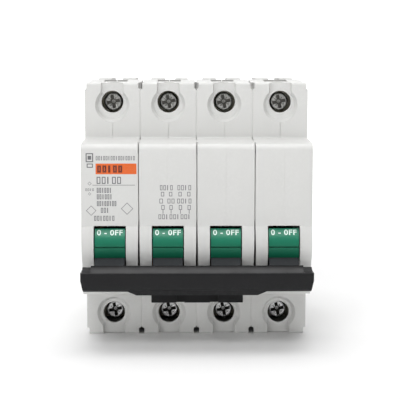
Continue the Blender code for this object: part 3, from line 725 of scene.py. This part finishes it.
def case_cuts():
    """Everything cut from both shells of a pole, in order."""

    def runs_back(edge):
        return abs((edge.verts[0].co - edge.verts[1].co).y) > 1e-4

    window_x = (-WINDOW_HALF, WINDOW_HALF)
    window = block(window_x, (FACE - 2.4, FACE + 3), (WINDOW_BOTTOM, WINDOW_TOP))
    cuts = [rounded(window, 0.25, 2, runs_back)]
    cuts.append(rod_x(TOGGLE, DRUM_RADIUS + DRUM_GAP, window_x, 96))
    for row, z in SCREW_HEIGHTS.items():
        cuts += keyhole(row, z)
        cuts += wire_mouth(row)
        cuts += corner_notches(row)
        sign, _ = pole_end(row)
        conductor_slot = sorted((z - 7.5 * sign, z - 3 * sign))
        cuts.append(block((-6.0, 6.0), (23.7, 28.1), conductor_slot))
    for groove in ((-1.9, 1.9), (-12, -6.4), (6.4, 12)):
        cuts.append(block(groove, (REAR - PAST, 18.0), (HEIGHT, HEIGHT + TOP_LAND + PAST)))
    cuts += foot_cuts()
    through = (-10, 10)
    for at in RIVETS:
        cuts.append(rod_x(at, 1.9, through))
    cuts.append(rod_x(TRIP, 1.8, through))
    cuts += cheek_draft()
    cuts += seam_lines()
    return cuts


def pads():
    """Raised faces that meet the next pole, at the shoulders and inside the nose."""
    full = 0.14
    slight = 0.08
    shoulder = (2.0, SHOULDER - 0.15)
    places = [
        (full, shoulder, (NOSE_TOP - 3, HEIGHT - 2.4)),
        (full, shoulder, (2.4, NOSE_BOTTOM - 1)),
        (slight, (4.0, FACE - 0.4), (WINDOW_TOP + 1.5, NOSE_TOP - 4)),
        (full, (40.0, FACE - 2.2), (NOSE_TOP - 6, NOSE_TOP - 0.5)),
        (slight, (4.0, FACE - 9), (NOSE_BOTTOM + 2, WINDOW_TOP + 2)),
    ]
    steps = []
    for rise, depth, z in places:
        steps.append((ADD, block((HALF_WIDTH - 0.3, HALF_WIDTH + rise), depth, z)))
    return steps


def side_panel():
    """Shallow moulded panel and rivet countersinks in an outermost side."""
    beyond = HALF_WIDTH + PAST
    panel = block((HALF_WIDTH - 0.25, beyond), (6.0, 40.0), (26.0, 60.0))
    steps = [(CUT, rounded(panel, 1.2, 4))]
    for at in RIVETS:
        steps.append((CUT, rod_x(at, 2.8, (HALF_WIDTH - 0.4, beyond))))
    return steps


def bearing_rings():
    """Bosses on the inside of the side wall for the toggle and the contact arm."""
    bosses = [(TOGGLE, 3.4, 2.0, 5.2), (ARM, 2.8, 1.5, 4.4)]
    steps = [(ADD, rod_x(at, outer, (start, INNER + 0.4))) for at, outer, _, start in bosses]
    steps += [(CUT, rod_x(at, inner, (0, INNER + 0.2))) for at, _, inner, _ in bosses]
    return steps


def case_half_mesh(side_steps):
    """The right-hand shell of a pole whose middle is at X = 0."""

    def outer_rim(edge):
        return all(v.co.x > (HALF_WIDTH - 0.01) * MM for v in edge.verts)

    body = rounded(prism(case_outline(), (0.01, HALF_WIDTH)), 0.22, 2, outer_rim)
    steps = [(CUT, prism(outline, (-1, INNER))) for outline in case_cavities()]
    steps += bearing_rings()
    steps += side_steps
    steps += [(CUT, cut) for cut in case_cuts()]
    return carve(body, steps)


def mirrored(mesh):
    other = mesh.copy()
    other.transform(Matrix.Diagonal((-1, 1, 1, 1)))
    other.flip_normals()
    return other


def make_cases():
    inner = case_half_mesh(pads())
    outer = case_half_mesh(side_panel())
    for pole in POLES:
        left = outer if pole == POLES[0] else inner
        right = outer if pole == POLES[-1] else inner
        for side, mesh in (("left", mirrored(left)), ("right", right.copy())):
            piece = f"shell_{side}_{pole}"
            node = (f"case_{side}_{pole}",)
            x = pole_x(pole)
            finish_piece(piece, mesh, "case", "case", x, node)


# -------- toggles


def indicator_mesh():
    """The green field of a toggle drum, with its groove."""
    outline = arc(TOGGLE, DRUM_RADIUS, GREEN_LOW, GREEN_HIGH, 48)
    outline += arc(TOGGLE, FIELD_RADIUS, GREEN_HIGH, GREEN_LOW, 20)
    half = 1.2
    groove = arc(TOGGLE, DRUM_RADIUS + 0.5, GROOVE_ANGLE - half, GROOVE_ANGLE + half, 2)
    groove += arc(TOGGLE, DRUM_RADIUS - 0.8, GROOVE_ANGLE + half, GROOVE_ANGLE - half, 2)
    field = rounded(prism(outline, (-INDICATOR_HALF, INDICATOR_HALF)), 0.2, 3)
    return carve(field, [(CUT, prism(groove, (-5, 5)))])


def lever_outline(end, half):
    """Side outline of a bar along the lever's direction at rest, out to a radius."""
    straight = rectangle((TOGGLE[0] + 6, TOGGLE[0] + end), (TOGGLE[1] - half, TOGGLE[1] + half))
    return [turned(TOGGLE, point, LEVER_REST) for point in straight]


def toggle_mesh():
    """The rest of a toggle: dark drum, lever, pivot pins and crank ear with its hole."""
    hub = 3.0
    drum = arc(TOGGLE, DRUM_RADIUS, LEVER_REST - 88, GREEN_LOW - 0.4, 50)
    drum += arc(TOGGLE, FIELD_RADIUS + 0.2, GREEN_LOW - 0.4, GREEN_LOW, 1)
    drum += [turned(TOGGLE, (TOGGLE[0] + hub, TOGGLE[1]), GREEN_HIGH)]
    drum += arc(TOGGLE, hub, LEVER_REST + 100, LEVER_REST + 252, 16)
    half = 2.2
    lever = lever_outline(LEVER_END, half)
    pin = rod_x(TOGGLE, 1.6, (-INNER + 0.35, INNER - 0.35), 32)
    ear_radius = 1.7
    ear_foot = TOGGLE[1] + 1.5
    ear_tip = (TOGGLE[0], TOGGLE[1] + 6.0)
    ear = [(TOGGLE[0] - ear_radius, ear_foot), (TOGGLE[0] + ear_radius, ear_foot)]
    ear += arc(ear_tip, ear_radius, 0, 180, 16)
    drum_x = (-DRUM_HALF, DRUM_HALF)
    steps = [
        (ADD, rounded(prism(lever, drum_x), 0.3)),
        (ADD, pin),
        (ADD, prism(ear, (-1.0, 1.0))),
        (CUT, rod_x(ear_tip, 1.0, (-2, 2), 24)),
    ]
    return carve(prism(drum, drum_x), steps)


def make_toggles():
    green = indicator_mesh()
    dark = toggle_mesh()
    pieces = {
        "lever": (dark, "lever", "bar_plastic"),
        "indicator": (green, "green", "toggle_plastic"),
    }
    for pole in POLES:
        node = (f"toggle_{pole}",)
        for name, (mesh, material, slot) in pieces.items():
            x = pole_x(pole)
            finish_piece(f"{name}_{pole}", mesh.copy(), material, "handle", x, node)


def legend_mesh(words):
    """The flat mesh of a few characters."""
    curve = bpy.data.curves.new("legend_text", "FONT")
    curve.body = words
    curve.offset = 0.025
    curve.space_character = 1.1
    curve.resolution_u = 4
    text = new_object("legend_text", curve)
    graph = bpy.context.evaluated_depsgraph_get()
    mesh = bpy.data.meshes.new_from_object(text.evaluated_get(graph))
    bpy.data.objects.remove(text, do_unlink=True)
    return mesh


def legend(name, words, angle, width, pole):
    """A switch legend printed round the drum at an angle from the front."""
    tall = 1.85
    bend = 0.3
    lift = 0.015
    mesh = legend_mesh(words)
    bm = bmesh.new()
    bm.from_mesh(mesh)
    xs = [v.co.x for v in bm.verts]
    ys = [v.co.y for v in bm.verts]
    for v in bm.verts:
        across = (v.co.x - min(xs)) / (max(xs) - min(xs)) - 0.5
        up = (v.co.y - min(ys)) / (max(ys) - min(ys)) - 0.5
        v.co = Vector((across * width, up * tall, 0))
    for step in range(-2, 3):
        geom = bm.verts[:] + bm.edges[:] + bm.faces[:]
        bmesh.ops.bisect_plane(bm, geom=geom, plane_co=(0, step * bend, 0), plane_no=(0, 1, 0))
    for v in bm.verts:
        turn = angle + degrees(v.co.y / DRUM_RADIUS)
        depth, height = polar(TOGGLE, DRUM_RADIUS + lift, turn)
        v.co = Vector((v.co.x, front(depth), height)) * MM
    bm.to_mesh(mesh)
    bm.free()
    finish_piece(name, mesh, "white", "handle", pole_x(pole))


def make_legends():
    off_width = 8.0
    on_width = 6.4
    off_angle = degrees(asin((LEGEND_HEIGHT - TOGGLE[1]) / DRUM_RADIUS))
    on_angle = -72.0
    for pole in POLES:
        legend(f"legend_off_{pole}", "0 - 0FF", off_angle, off_width, pole)
        legend(f"legend_on_{pole}", "I - 0N", on_angle, on_width, pole)


# -------- tie bar


def pockets():
    """Cuts in the tie bar for the four levers."""
    gap = 0.3
    pocket = lever_outline(LEVER_END + 0.4, 2.5)
    steps = []
    for pole in POLES:
        x = pole_x(pole)
        steps.append((CUT, prism(pocket, (x - DRUM_HALF - gap, x + DRUM_HALF + gap))))
    return steps


def bar_body():
    """The bar with its lowered ends, belly and cut-back lower corners."""
    main = [
        (BAR_REAR, 25.0),
        (BAR_REAR, BAR_FOOT + 0.3),
        (BAR_REAR + 0.3, BAR_FOOT),
        (BAR_FRONT - 0.9, BAR_FOOT),
        (BAR_FRONT - 0.1, BAR_FOOT + 0.7),
        (BAR_FRONT, BAR_FOOT + 1.4),
        (BAR_FRONT, 24.7),
        (BAR_FRONT - 0.25, 25.0),
    ]
    ends = [
        (BAR_REAR + 0.2, CREST_FOOT),
        (BAR_FRONT - 0.9, CREST_FOOT),
        (BAR_FRONT - 0.9, 25.1),
        (BAR_FRONT - 3.2, 26.3),
        (BAR_REAR + 0.2, 25.6),
    ]
    body = rounded(prism(main, (-BAR_HALF, BAR_HALF)), 0.35, 3)
    end_half = BAR_HALF - 0.4
    steps = [(ADD, rounded(prism(ends, (-end_half, end_half)), 0.2))]
    high = BAR_FOOT + 0.4
    belly_half = 21.7
    dip_half = 18.4
    belly = [(-belly_half, high), (-dip_half, BAR_DIP), (dip_half, BAR_DIP), (belly_half, high)]
    belly += [(belly_half, high + 0.6), (-belly_half, high + 0.6)]
    steps.append((ADD, plate(belly, (BAR_REAR + 0.2, BAR_FRONT - 0.35))))
    for side in (-1, 1):
        beyond = side * (BAR_HALF + 0.5)
        low = BAR_FOOT - 0.5
        top = BAR_FOOT + 3.6
        corner = [(side * (BAR_HALF - 0.9), low), (beyond, low)]
        corner += [(beyond, top), (side * BAR_HALF, top)]
        steps.append((CUT, plate(corner, (BAR_REAR - PAST, BAR_FRONT + PAST))))
    return body, steps


def bar_crest():
    """The raised strip on top of the bar, whose front slope turns to the user."""
    half = 32.3
    top = BAR_TOP + CREST_RISE
    outline = [
        (BAR_REAR, CREST_FOOT),
        (BAR_FRONT - 0.3, CREST_FOOT),
        (BAR_FRONT - 0.3, 25.02),
        (BAR_FRONT - 1.75, 26.15),
        (BAR_FRONT - 2.1, 26.6),
        (BAR_FRONT - 2.2, top),
        (BAR_REAR + 0.6, top - 0.9),
        (BAR_REAR, top - 1.4),
    ]
    return prism(outline, (-half, half))


def bar_lug():
    """The grip lug under the middle of the bar, and its two notches."""
    depth = (BAR_REAR + 0.6, BAR_REAR + 3.4)
    gap = (LUG_BOTTOM - PAST, BAR_DIP - 0.1)
    steps = []
    for side in (-1, 1):
        notch = sorted((side * 3.9, side * 6.4))
        steps.append((CUT, block(notch, (BAR_REAR + 2.2, BAR_FRONT), gap)))
    return rounded(block((-14.0, 14.0), depth, (LUG_BOTTOM, BAR_FOOT)), 0.25), steps


def make_tie_bar():
    body, steps = bar_body()
    meshes = {
        "tie_bar": ("bar", carve(body, steps + pockets())),
        "bar_crest": ("crest", carve(bar_crest(), pockets())),
        "bar_lug": ("lug", carve(*bar_lug())),
    }
    node = ("handle_tie_bar",)
    for name, (material, mesh) in meshes.items():
        finish_piece(name, mesh, material, "handle", 0, node)


# -------- terminals


def head_slot(half, reach, turn, z, deep):
    """A straight slot across a screw's head."""
    ring = [turned((0, 0), point, turn) for point in rectangle((-half, half), (-reach, reach))]
    return plate([(x, z + rise) for x, rise in ring], (HEAD_TOP - deep, HEAD_TOP + PAST))


def make_screws():
    """Pan-headed clamp screws: a cross recess, and the four fine marks between its arms."""
    depths = (27.8, 28.2, 35.8, 35.8, 36.1, 37.3, 37.8, HEAD_TOP)
    radii = (1.9, 2.3, 2.3, 2.75, 2.95, 2.95, 2.7, 2.3)
    for row, z in SCREW_HEIGHTS.items():
        head = cone_y(0, z, depths, radii, 72)
        steps = [(CUT, head_slot(0.55, 2.2, turn, z, CROSS_DEPTH)) for turn in (12, 102)]
        steps += [(CUT, head_slot(0.14, 1.8, turn, z, 0.45)) for turn in (57, 147)]
        steps.append((CUT, cone_y(0, z, (36.4, 38.3), (0.55, 1.15), 32)))
        mesh = carve(head, steps)
        for pole in POLES:
            body = f"{row}_screw_{pole}"
            piece = f"{row}_clamp_screw_{pole}"
            x = pole_x(pole)
            finish_piece(piece, mesh.copy(), f"screw_{row}", body, x, (body,))


# -------- prints

INK_LIFT = 0.012


def frame_marks(x, z, stroke):
    """The four strokes of a hollow rectangle."""
    return [
        rectangle((x[0], x[0] + stroke), z),
        rectangle((x[1] - stroke, x[1]), z),
        rectangle((x[0] + stroke, x[1] - stroke), (z[0], z[0] + stroke)),
        rectangle((x[0] + stroke, x[1] - stroke), (z[1] - stroke, z[1])),
    ]


def diamond_marks(x, z, half, stroke):
    """A hollow diamond of four strokes."""
    marks = []
    outer = [(x + half, z), (x, z + half), (x - half, z), (x, z - half)]
    inner_half = half - stroke
    inner = [(x + inner_half, z), (x, z + inner_half), (x - inner_half, z), (x, z - inner_half)]
    for i in range(4):
        j = (i + 1) % 4
        marks.append([outer[i], outer[j], inner[j], inner[i]])
    return marks


def print_line(x, z, count, stroke=0.2):
    """A line of plain marks that stands for a line of print: hollow, hollow, solid."""
    pitch = (x[1] - x[0]) / count
    marks = []
    for i in range(count):
        left = x[0] + i * pitch
        right = left + pitch * 0.74
        if i % 3 == 2:
            marks.append(rectangle((left + 0.1, left + 0.1 + stroke * 1.4), z))
        else:
            marks += frame_marks((left, right), z, stroke)
    return marks


def print_piece(name, rings, material, depth=FACE + INK_LIFT):
    """Printed shapes on the front face: each is a ring of (x, height) points."""
    bm = bmesh.new()
    for ring in rings:
        bm.faces.new([bm.verts.new(Vector((x, front(depth), z)) * MM) for x, z in ring])
    for face in bm.faces:
        face.normal_update()
        if face.normal.y > 0:
            face.normal_flip()
    mesh = bpy.data.meshes.new(name)
    bm.to_mesh(mesh)
    bm.free()
    finish_piece(name, mesh, material, "case")


def make_rating_print():
    """Plain marks in the layout of a rating plate on the first pole."""
    bold = 0.28
    fine = 0.24
    left = -30.9
    print_piece("print_band", [rectangle((-31.2, -18.6), (54.1, 57.4))], "orange")
    lift = FACE + 2 * INK_LIFT
    print_piece("print_band_marks", print_line((-30.7, -22.6), (54.6, 56.8), 5, 0.5), "brown", lift)
    dark = print_line((left, -23.0), (51.1, 53.3), 5, bold)
    dark += frame_marks((-34.2, -31.9), (57.8, 60.6), 0.32)
    dark += [rectangle((-33.6, -32.5), (58.6, 59.8))]
    dark += frame_marks((-33.9, -32.0), (56.1, 57.4), bold)
    print_piece("print_plate", dark, "print")
    faint = print_line((-31.1, -18.9), (58.4, 59.7), 16, 0.19)
    faint += [rectangle((-32.2, -19.1), (50.62, 50.79))]
    faint += print_line((left, -26.2), (48.3, 49.9), 6, fine)
    faint += print_line((left, -26.0), (46.3, 47.9), 6, fine)
    faint += print_line((left, -24.7), (44.2, 45.8), 8, fine)
    faint += print_line((-29.7, -27.0), (42.1, 43.7), 3, fine)
    faint += print_line((-31.8, -25.3), (39.6, 41.2), 7, fine)
    faint += print_line((-34.4, -31.6), (48.9, 49.7), 4, 0.14)
    faint += diamond_marks(-33.1, 51.2, 0.6, 0.18)
    faint += diamond_marks(-33.1, 48.0, 0.5, 0.16)
    faint += diamond_marks(-32.7, 42.8, 1.6, fine)
    faint += diamond_marks(-21.6, 43.4, 1.9, 0.26)
    print_piece("print_lines", faint, "faint")


def make_table_print():
    """Plain marks in the layout of a small wiring table on the second pole."""
    columns = (-11.0, -8.5, -5.6, -2.9)
    stroke = 0.22
    heading = (49.1, 50.7)
    middle = (45.0, 46.5)
    marks = print_line((-11.4, -7.2), heading, 4, stroke)
    marks += print_line((-6.0, -1.5), heading, 4, stroke)
    for x in columns:
        marks += frame_marks((x - 0.1, x + 0.9), (47.2, 48.6), stroke)
        marks += frame_marks((x, x + 1.0), (43.0, 44.5), stroke)
        marks.append(rectangle((x + 0.4, x + 0.4 + stroke), (41.8, 43.0)))
    marks += frame_marks((-11.6, -10.5), middle, stroke)
    marks += print_line((-9.1, -6.6), middle, 2, stroke)
    marks += print_line((-6.1, -1.4), middle, 4, stroke)
    marks += print_line((-11.9, -1.6), (40.1, 41.6), 9, stroke)
    print_piece("print_table", marks, "faint")


# -------- small inner pieces


def tube(points, radius, sides=10):
    """A round wire through points in millimetres. Its rings turn with the path, untwisted."""
    bm = bmesh.new()
    rings = []
    side = (points[1] - points[0]).orthogonal()
    for i, point in enumerate(points):
        ahead = (points[min(i + 1, len(points) - 1)] - points[max(i - 1, 0)]).normalized()
        side = (side - ahead * side.dot(ahead)).normalized()
        up = ahead.cross(side)
        ring = []
        for k in range(sides):
            a = 2 * pi * k / sides
            ring.append(bm.verts.new((point + (side * cos(a) + up * sin(a)) * radius) * MM))
        rings.append(ring)
    for near, far in zip(rings, rings[1:]):
        for k in range(sides):
            bm.faces.new((near[k], near[k - 1], far[k - 1], far[k]))
    bm.faces.new(rings[0])
    bm.faces.new(rings[-1])
    return bm


def side_point(x, side):
    return Vector((x, front(side[0]), side[1]))


def make_rivets():
    """Semi-tubular rivets through the stack, hollow and flared at both ends."""
    radius = 1.5
    flare = 1.78
    flare_width = 0.35
    bore = 0.95
    bore_depth = 1.6
    for place, at in zip(("rear", "front"), RIVETS):
        node = f"{place}_rivet"
        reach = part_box(node)[1].x / MM
        steps = []
        for side in (-1, 1):
            rim = sorted((side * (reach - flare_width), side * reach))
            hollow = sorted((side * (reach - bore_depth), side * (reach + 1)))
            steps.append((ADD, rounded(rod_x(at, flare, rim), 0.1)))
            steps.append((CUT, rod_x(at, bore, hollow)))
        shank_half = reach - flare_width / 2
        mesh = carve(rod_x(at, radius, (-shank_half, shank_half)), steps)
        finish_piece(f"stack_{node}", mesh, "rod", "case", 0, (node,))


def make_contact_tips():
    """Silver pads on the fixed and the moving contact of each pole."""
    edge = 0.15
    fixed = block((-2.05, 2.05), (23.4, 24.95), (42.55, 47.45))
    fixed_mesh = mesh_from(rounded(fixed, edge))
    upright = rectangle((ARM[0] - 2.05, ARM[0] - 1.15), (ARM[1] + 14.75, ARM[1] + 18.65))
    outline = [turned(ARM, point, ARM_REST - 90) for point in upright]
    moving_mesh = mesh_from(rounded(prism(outline, (-1.45, 1.45)), edge))
    for pole in POLES:
        x = pole_x(pole)
        arm = f"contact_arm_{pole}"
        finish_piece(f"fixed_contact_tip_{pole}", fixed_mesh.copy(), "silver", "case", x)
        finish_piece(f"moving_contact_tip_{pole}", moving_mesh.copy(), "silver", arm, x)


def make_toggle_springs():
    """Torsion springs wound on the bearing rings: one leg on the case, one on the drum."""
    wire = 0.25
    radius = 4.3
    turns = 2.7
    case_x = 6.6
    drum_x = 5.0
    first = 150.0
    last = first + 360 * turns
    steps = 96
    points = [side_point(case_x, polar(TOGGLE, radius + 3.6, first - 38))]
    for i in range(steps + 1):
        share = i / steps
        x = case_x + (drum_x - case_x) * share
        points.append(side_point(x, polar(TOGGLE, radius, first + 360 * turns * share)))
    points.append(side_point(drum_x, polar(TOGGLE, radius + 2.4, last + 30)))
    mesh = mesh_from(tube(points, wire))
    for pole in POLES:
        x = pole_x(pole)
        spring = place_piece(f"toggle_spring_{pole}", mesh.copy(), "rod", x)
        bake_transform(spring)


def make_braids():
    """Copper braids from the bimetal strips to the contact arms."""
    fixed_end = side_point(-4.9, (37.25, 42.0))
    fixed_pull = side_point(-4.9, (34.2, 40.0))
    arm_pull = side_point(-3.6, (35.4, 31.5))
    arm_end = side_point(-2.0, (32.4, 33.6))
    thickness = 1.0
    points = interpolate_bezier(fixed_end, fixed_pull, arm_pull, arm_end, 24)
    mesh = mesh_from(tube(points, thickness / 2))
    for pole in POLES:
        x = pole_x(pole)
        braid = place_piece(f"copper_braid_{pole}", mesh.copy(), "braid", x)
        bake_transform(braid)


def coil_winding():
    """The thick wire of a magnetic trip, wound between the yoke's two legs."""
    radius = 4.1
    turns = 5.5
    steps = 96
    rear = COIL_REAR + YOKE_PLATE
    fore = COIL_FORE - YOKE_PLATE
    points = []
    for i in range(steps + 1):
        share = i / steps
        across, up = polar((0, COIL_Z), radius, 360 * turns * share)
        points.append(side_point(across, (rear + (fore - rear) * share, up)))
    return mesh_from(tube(points, 1.0))


def coil_yoke():
    """The three-sided steel yoke of a magnetic trip."""
    tall = (COIL_Z - 5.2, COIL_Z + 7.2)
    roof = (COIL_Z + 6.1, COIL_Z + 7.3)
    rear = COIL_REAR - YOKE_PLATE
    fore = COIL_FORE + YOKE_PLATE
    half = 4.6
    narrow = (-half, 1.4)
    back = block((-half, half), (rear, COIL_REAR), tall)
    steps = [(ADD, block(narrow, (COIL_FORE, fore), tall))]
    steps.append((ADD, block(narrow, (rear, fore), roof)))
    return carve(back, steps)


def make_coils():
    """Magnetic trips: a wire coil on a bobbin, its yoke and the plunger."""
    bobbin = cone_y(0, COIL_Z, (COIL_REAR, COIL_FORE), (2.9, 2.9), 40)
    plunger_depths = (COIL_FORE - 0.5, PLUNGER_TIP - 0.2, PLUNGER_TIP)
    plunger = cone_y(0, COIL_Z, plunger_depths, (0.9, 0.9, 0.7), 24)
    meshes = {
        "coil_winding": (coil_winding(), "winding", "coil_wire"),
        "coil_bobbin": (mesh_from(bobbin), "trip", "trip_plastic"),
        "coil_yoke": (coil_yoke(), "steel", "arc_steel"),
        "trip_plunger": (mesh_from(plunger), "rod", "rod_steel"),
    }
    for pole in POLES:
        for name, (mesh, material, slot) in meshes.items():
            piece = f"{name}_{pole}"
            node = (f"trip_coil_{pole}",)
            finish_piece(piece, mesh.copy(), material, "case", pole_x(pole), node)


# -------- carried-over CAD nodes

CARRIED = {
    "link_rod": "rod",
    "contact_arm": "copper",
    "line_conductor": "copper",
    "load_conductor": "copper",
    "arc_chute": "steel",
    "rail_clip": "clip",
    "upper_cage": "cage",
    "lower_cage": "cage",
    "trip_bar": "trip",
}


def dress_carried():
    """Gives each CAD node that stays in the picture its material."""
    for name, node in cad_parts.items():
        for start, material in CARRIED.items():
            if name.startswith(start):
                node.data.materials.clear()
                node.data.materials.append(MATERIAL[material])


# -------- stage

BACKDROP_GLOW = 0.9
OBJECT_MIDDLE = (0, 0, 0.04)


def backdrop_material():
    """White that glows away from the object, so that only its own shadow shows.

    The ramps' ends are in metres: behind the object, all round it, and up the wall.
    """
    nodes = Nodes("backdrop_white")
    nodes.set("Base Color", (0.9, 0.9, 0.9, 1))
    nodes.set("Roughness", 0.8)
    nodes.set("Specular IOR Level", 0.0)
    axes = nodes.axes()
    behind = nodes.ramp(axes["Y"], 0.0, BACKDROP_GLOW, 0.12, 0.6)
    reach = nodes.add("ShaderNodeVectorMath", operation="LENGTH")
    nodes.link(nodes.place, reach.inputs[0])
    around = nodes.ramp(reach.outputs["Value"], 0.0, BACKDROP_GLOW, 0.3, 0.75)
    glow = nodes.add("ShaderNodeMath", operation="MAXIMUM")
    nodes.link(behind, glow.inputs[0])
    nodes.link(around, glow.inputs[1])
    low = nodes.ramp(axes["Z"], 1.0, 0.0, 0.3, 0.5)
    shown = nodes.product(glow.outputs["Value"], low)
    nodes.set("Emission Color", (1, 1, 1, 1))
    nodes.set("Emission Strength", shown)
    return nodes.material


def make_backdrop():
    """White sweep, in metres: a floor that curves up into a wall behind the object."""
    near = -8.0
    bend = 0.4
    radius = 0.5
    steps = 12
    top = 2.6
    half_width = 4.0
    profile = [(near, 0.0), (bend, 0.0)]
    for i in range(1, steps + 1):
        a = pi / 2 * i / steps
        profile.append((bend + radius * sin(a), radius * (1 - cos(a))))
    profile.append((bend + radius, top))
    bm = bmesh.new()
    rows = [[bm.verts.new((x, y, z)) for y, z in profile] for x in (-half_width, half_width)]
    for i in range(len(profile) - 1):
        bm.faces.new((rows[0][i], rows[1][i], rows[1][i + 1], rows[0][i + 1]))
    sweep = new_object("backdrop", mesh_from(bm, "backdrop"))
    sweep.data.shade_smooth()
    sweep.data.materials.append(backdrop_material())


def make_light(name, place, size, watts):
    """A soft rectangular lamp aimed at the middle of the object. Places are in metres."""
    light = bpy.data.lights.new(name, "AREA")
    light.shape = "RECTANGLE"
    light.size, light.size_y = size
    light.energy = watts
    lamp = bpy.data.objects.new(name, light)
    lamp.location = place
    aim = Vector(OBJECT_MIDDLE) - Vector(place)
    lamp.rotation_euler = aim.to_track_quat("-Z", "Y").to_euler()
    bpy.context.scene.collection.objects.link(lamp)


def make_world(strength):
    world = bpy.data.worlds.new("studio")
    world.use_nodes = True
    sky = world.node_tree.nodes["Background"]
    sky.inputs["Color"].default_value = (1, 1, 1, 1)
    sky.inputs["Strength"].default_value = strength
    bpy.context.scene.world = world


def make_camera():
    """The camera looks slightly down and slightly from the left."""
    data = bpy.data.cameras.new("camera")
    data.sensor_width = 36.0
    data.lens = 96.03
    camera = bpy.data.objects.new("camera", data)
    camera.location = (-0.00339, -0.3554, 0.0845)
    camera.rotation_euler = (radians(90 - 6.69), 0, radians(-0.76))
    bpy.context.scene.collection.objects.link(camera)
    bpy.context.scene.camera = camera


make_cases()
make_toggles()
make_legends()
make_tie_bar()
make_screws()
make_rating_print()
make_table_print()
make_coils()
make_rivets()
make_contact_tips()
make_toggle_springs()
make_braids()
dress_carried()

make_backdrop()
make_world(0.08)
make_light("overhead", (-0.03, 0.02, 0.9), (0.8, 0.7), 6.5)
make_light("top_front", (-0.1, -0.62, 0.72), (0.6, 0.3), 2.7)
make_light("left", (-0.72, -0.7, 0.17), (0.5, 0.3), 2.3)
make_light("right", (0.72, -0.7, 0.17), (0.5, 0.3), 1.4)
make_camera()
bpy.context.scene.view_settings.view_transform = "Standard"
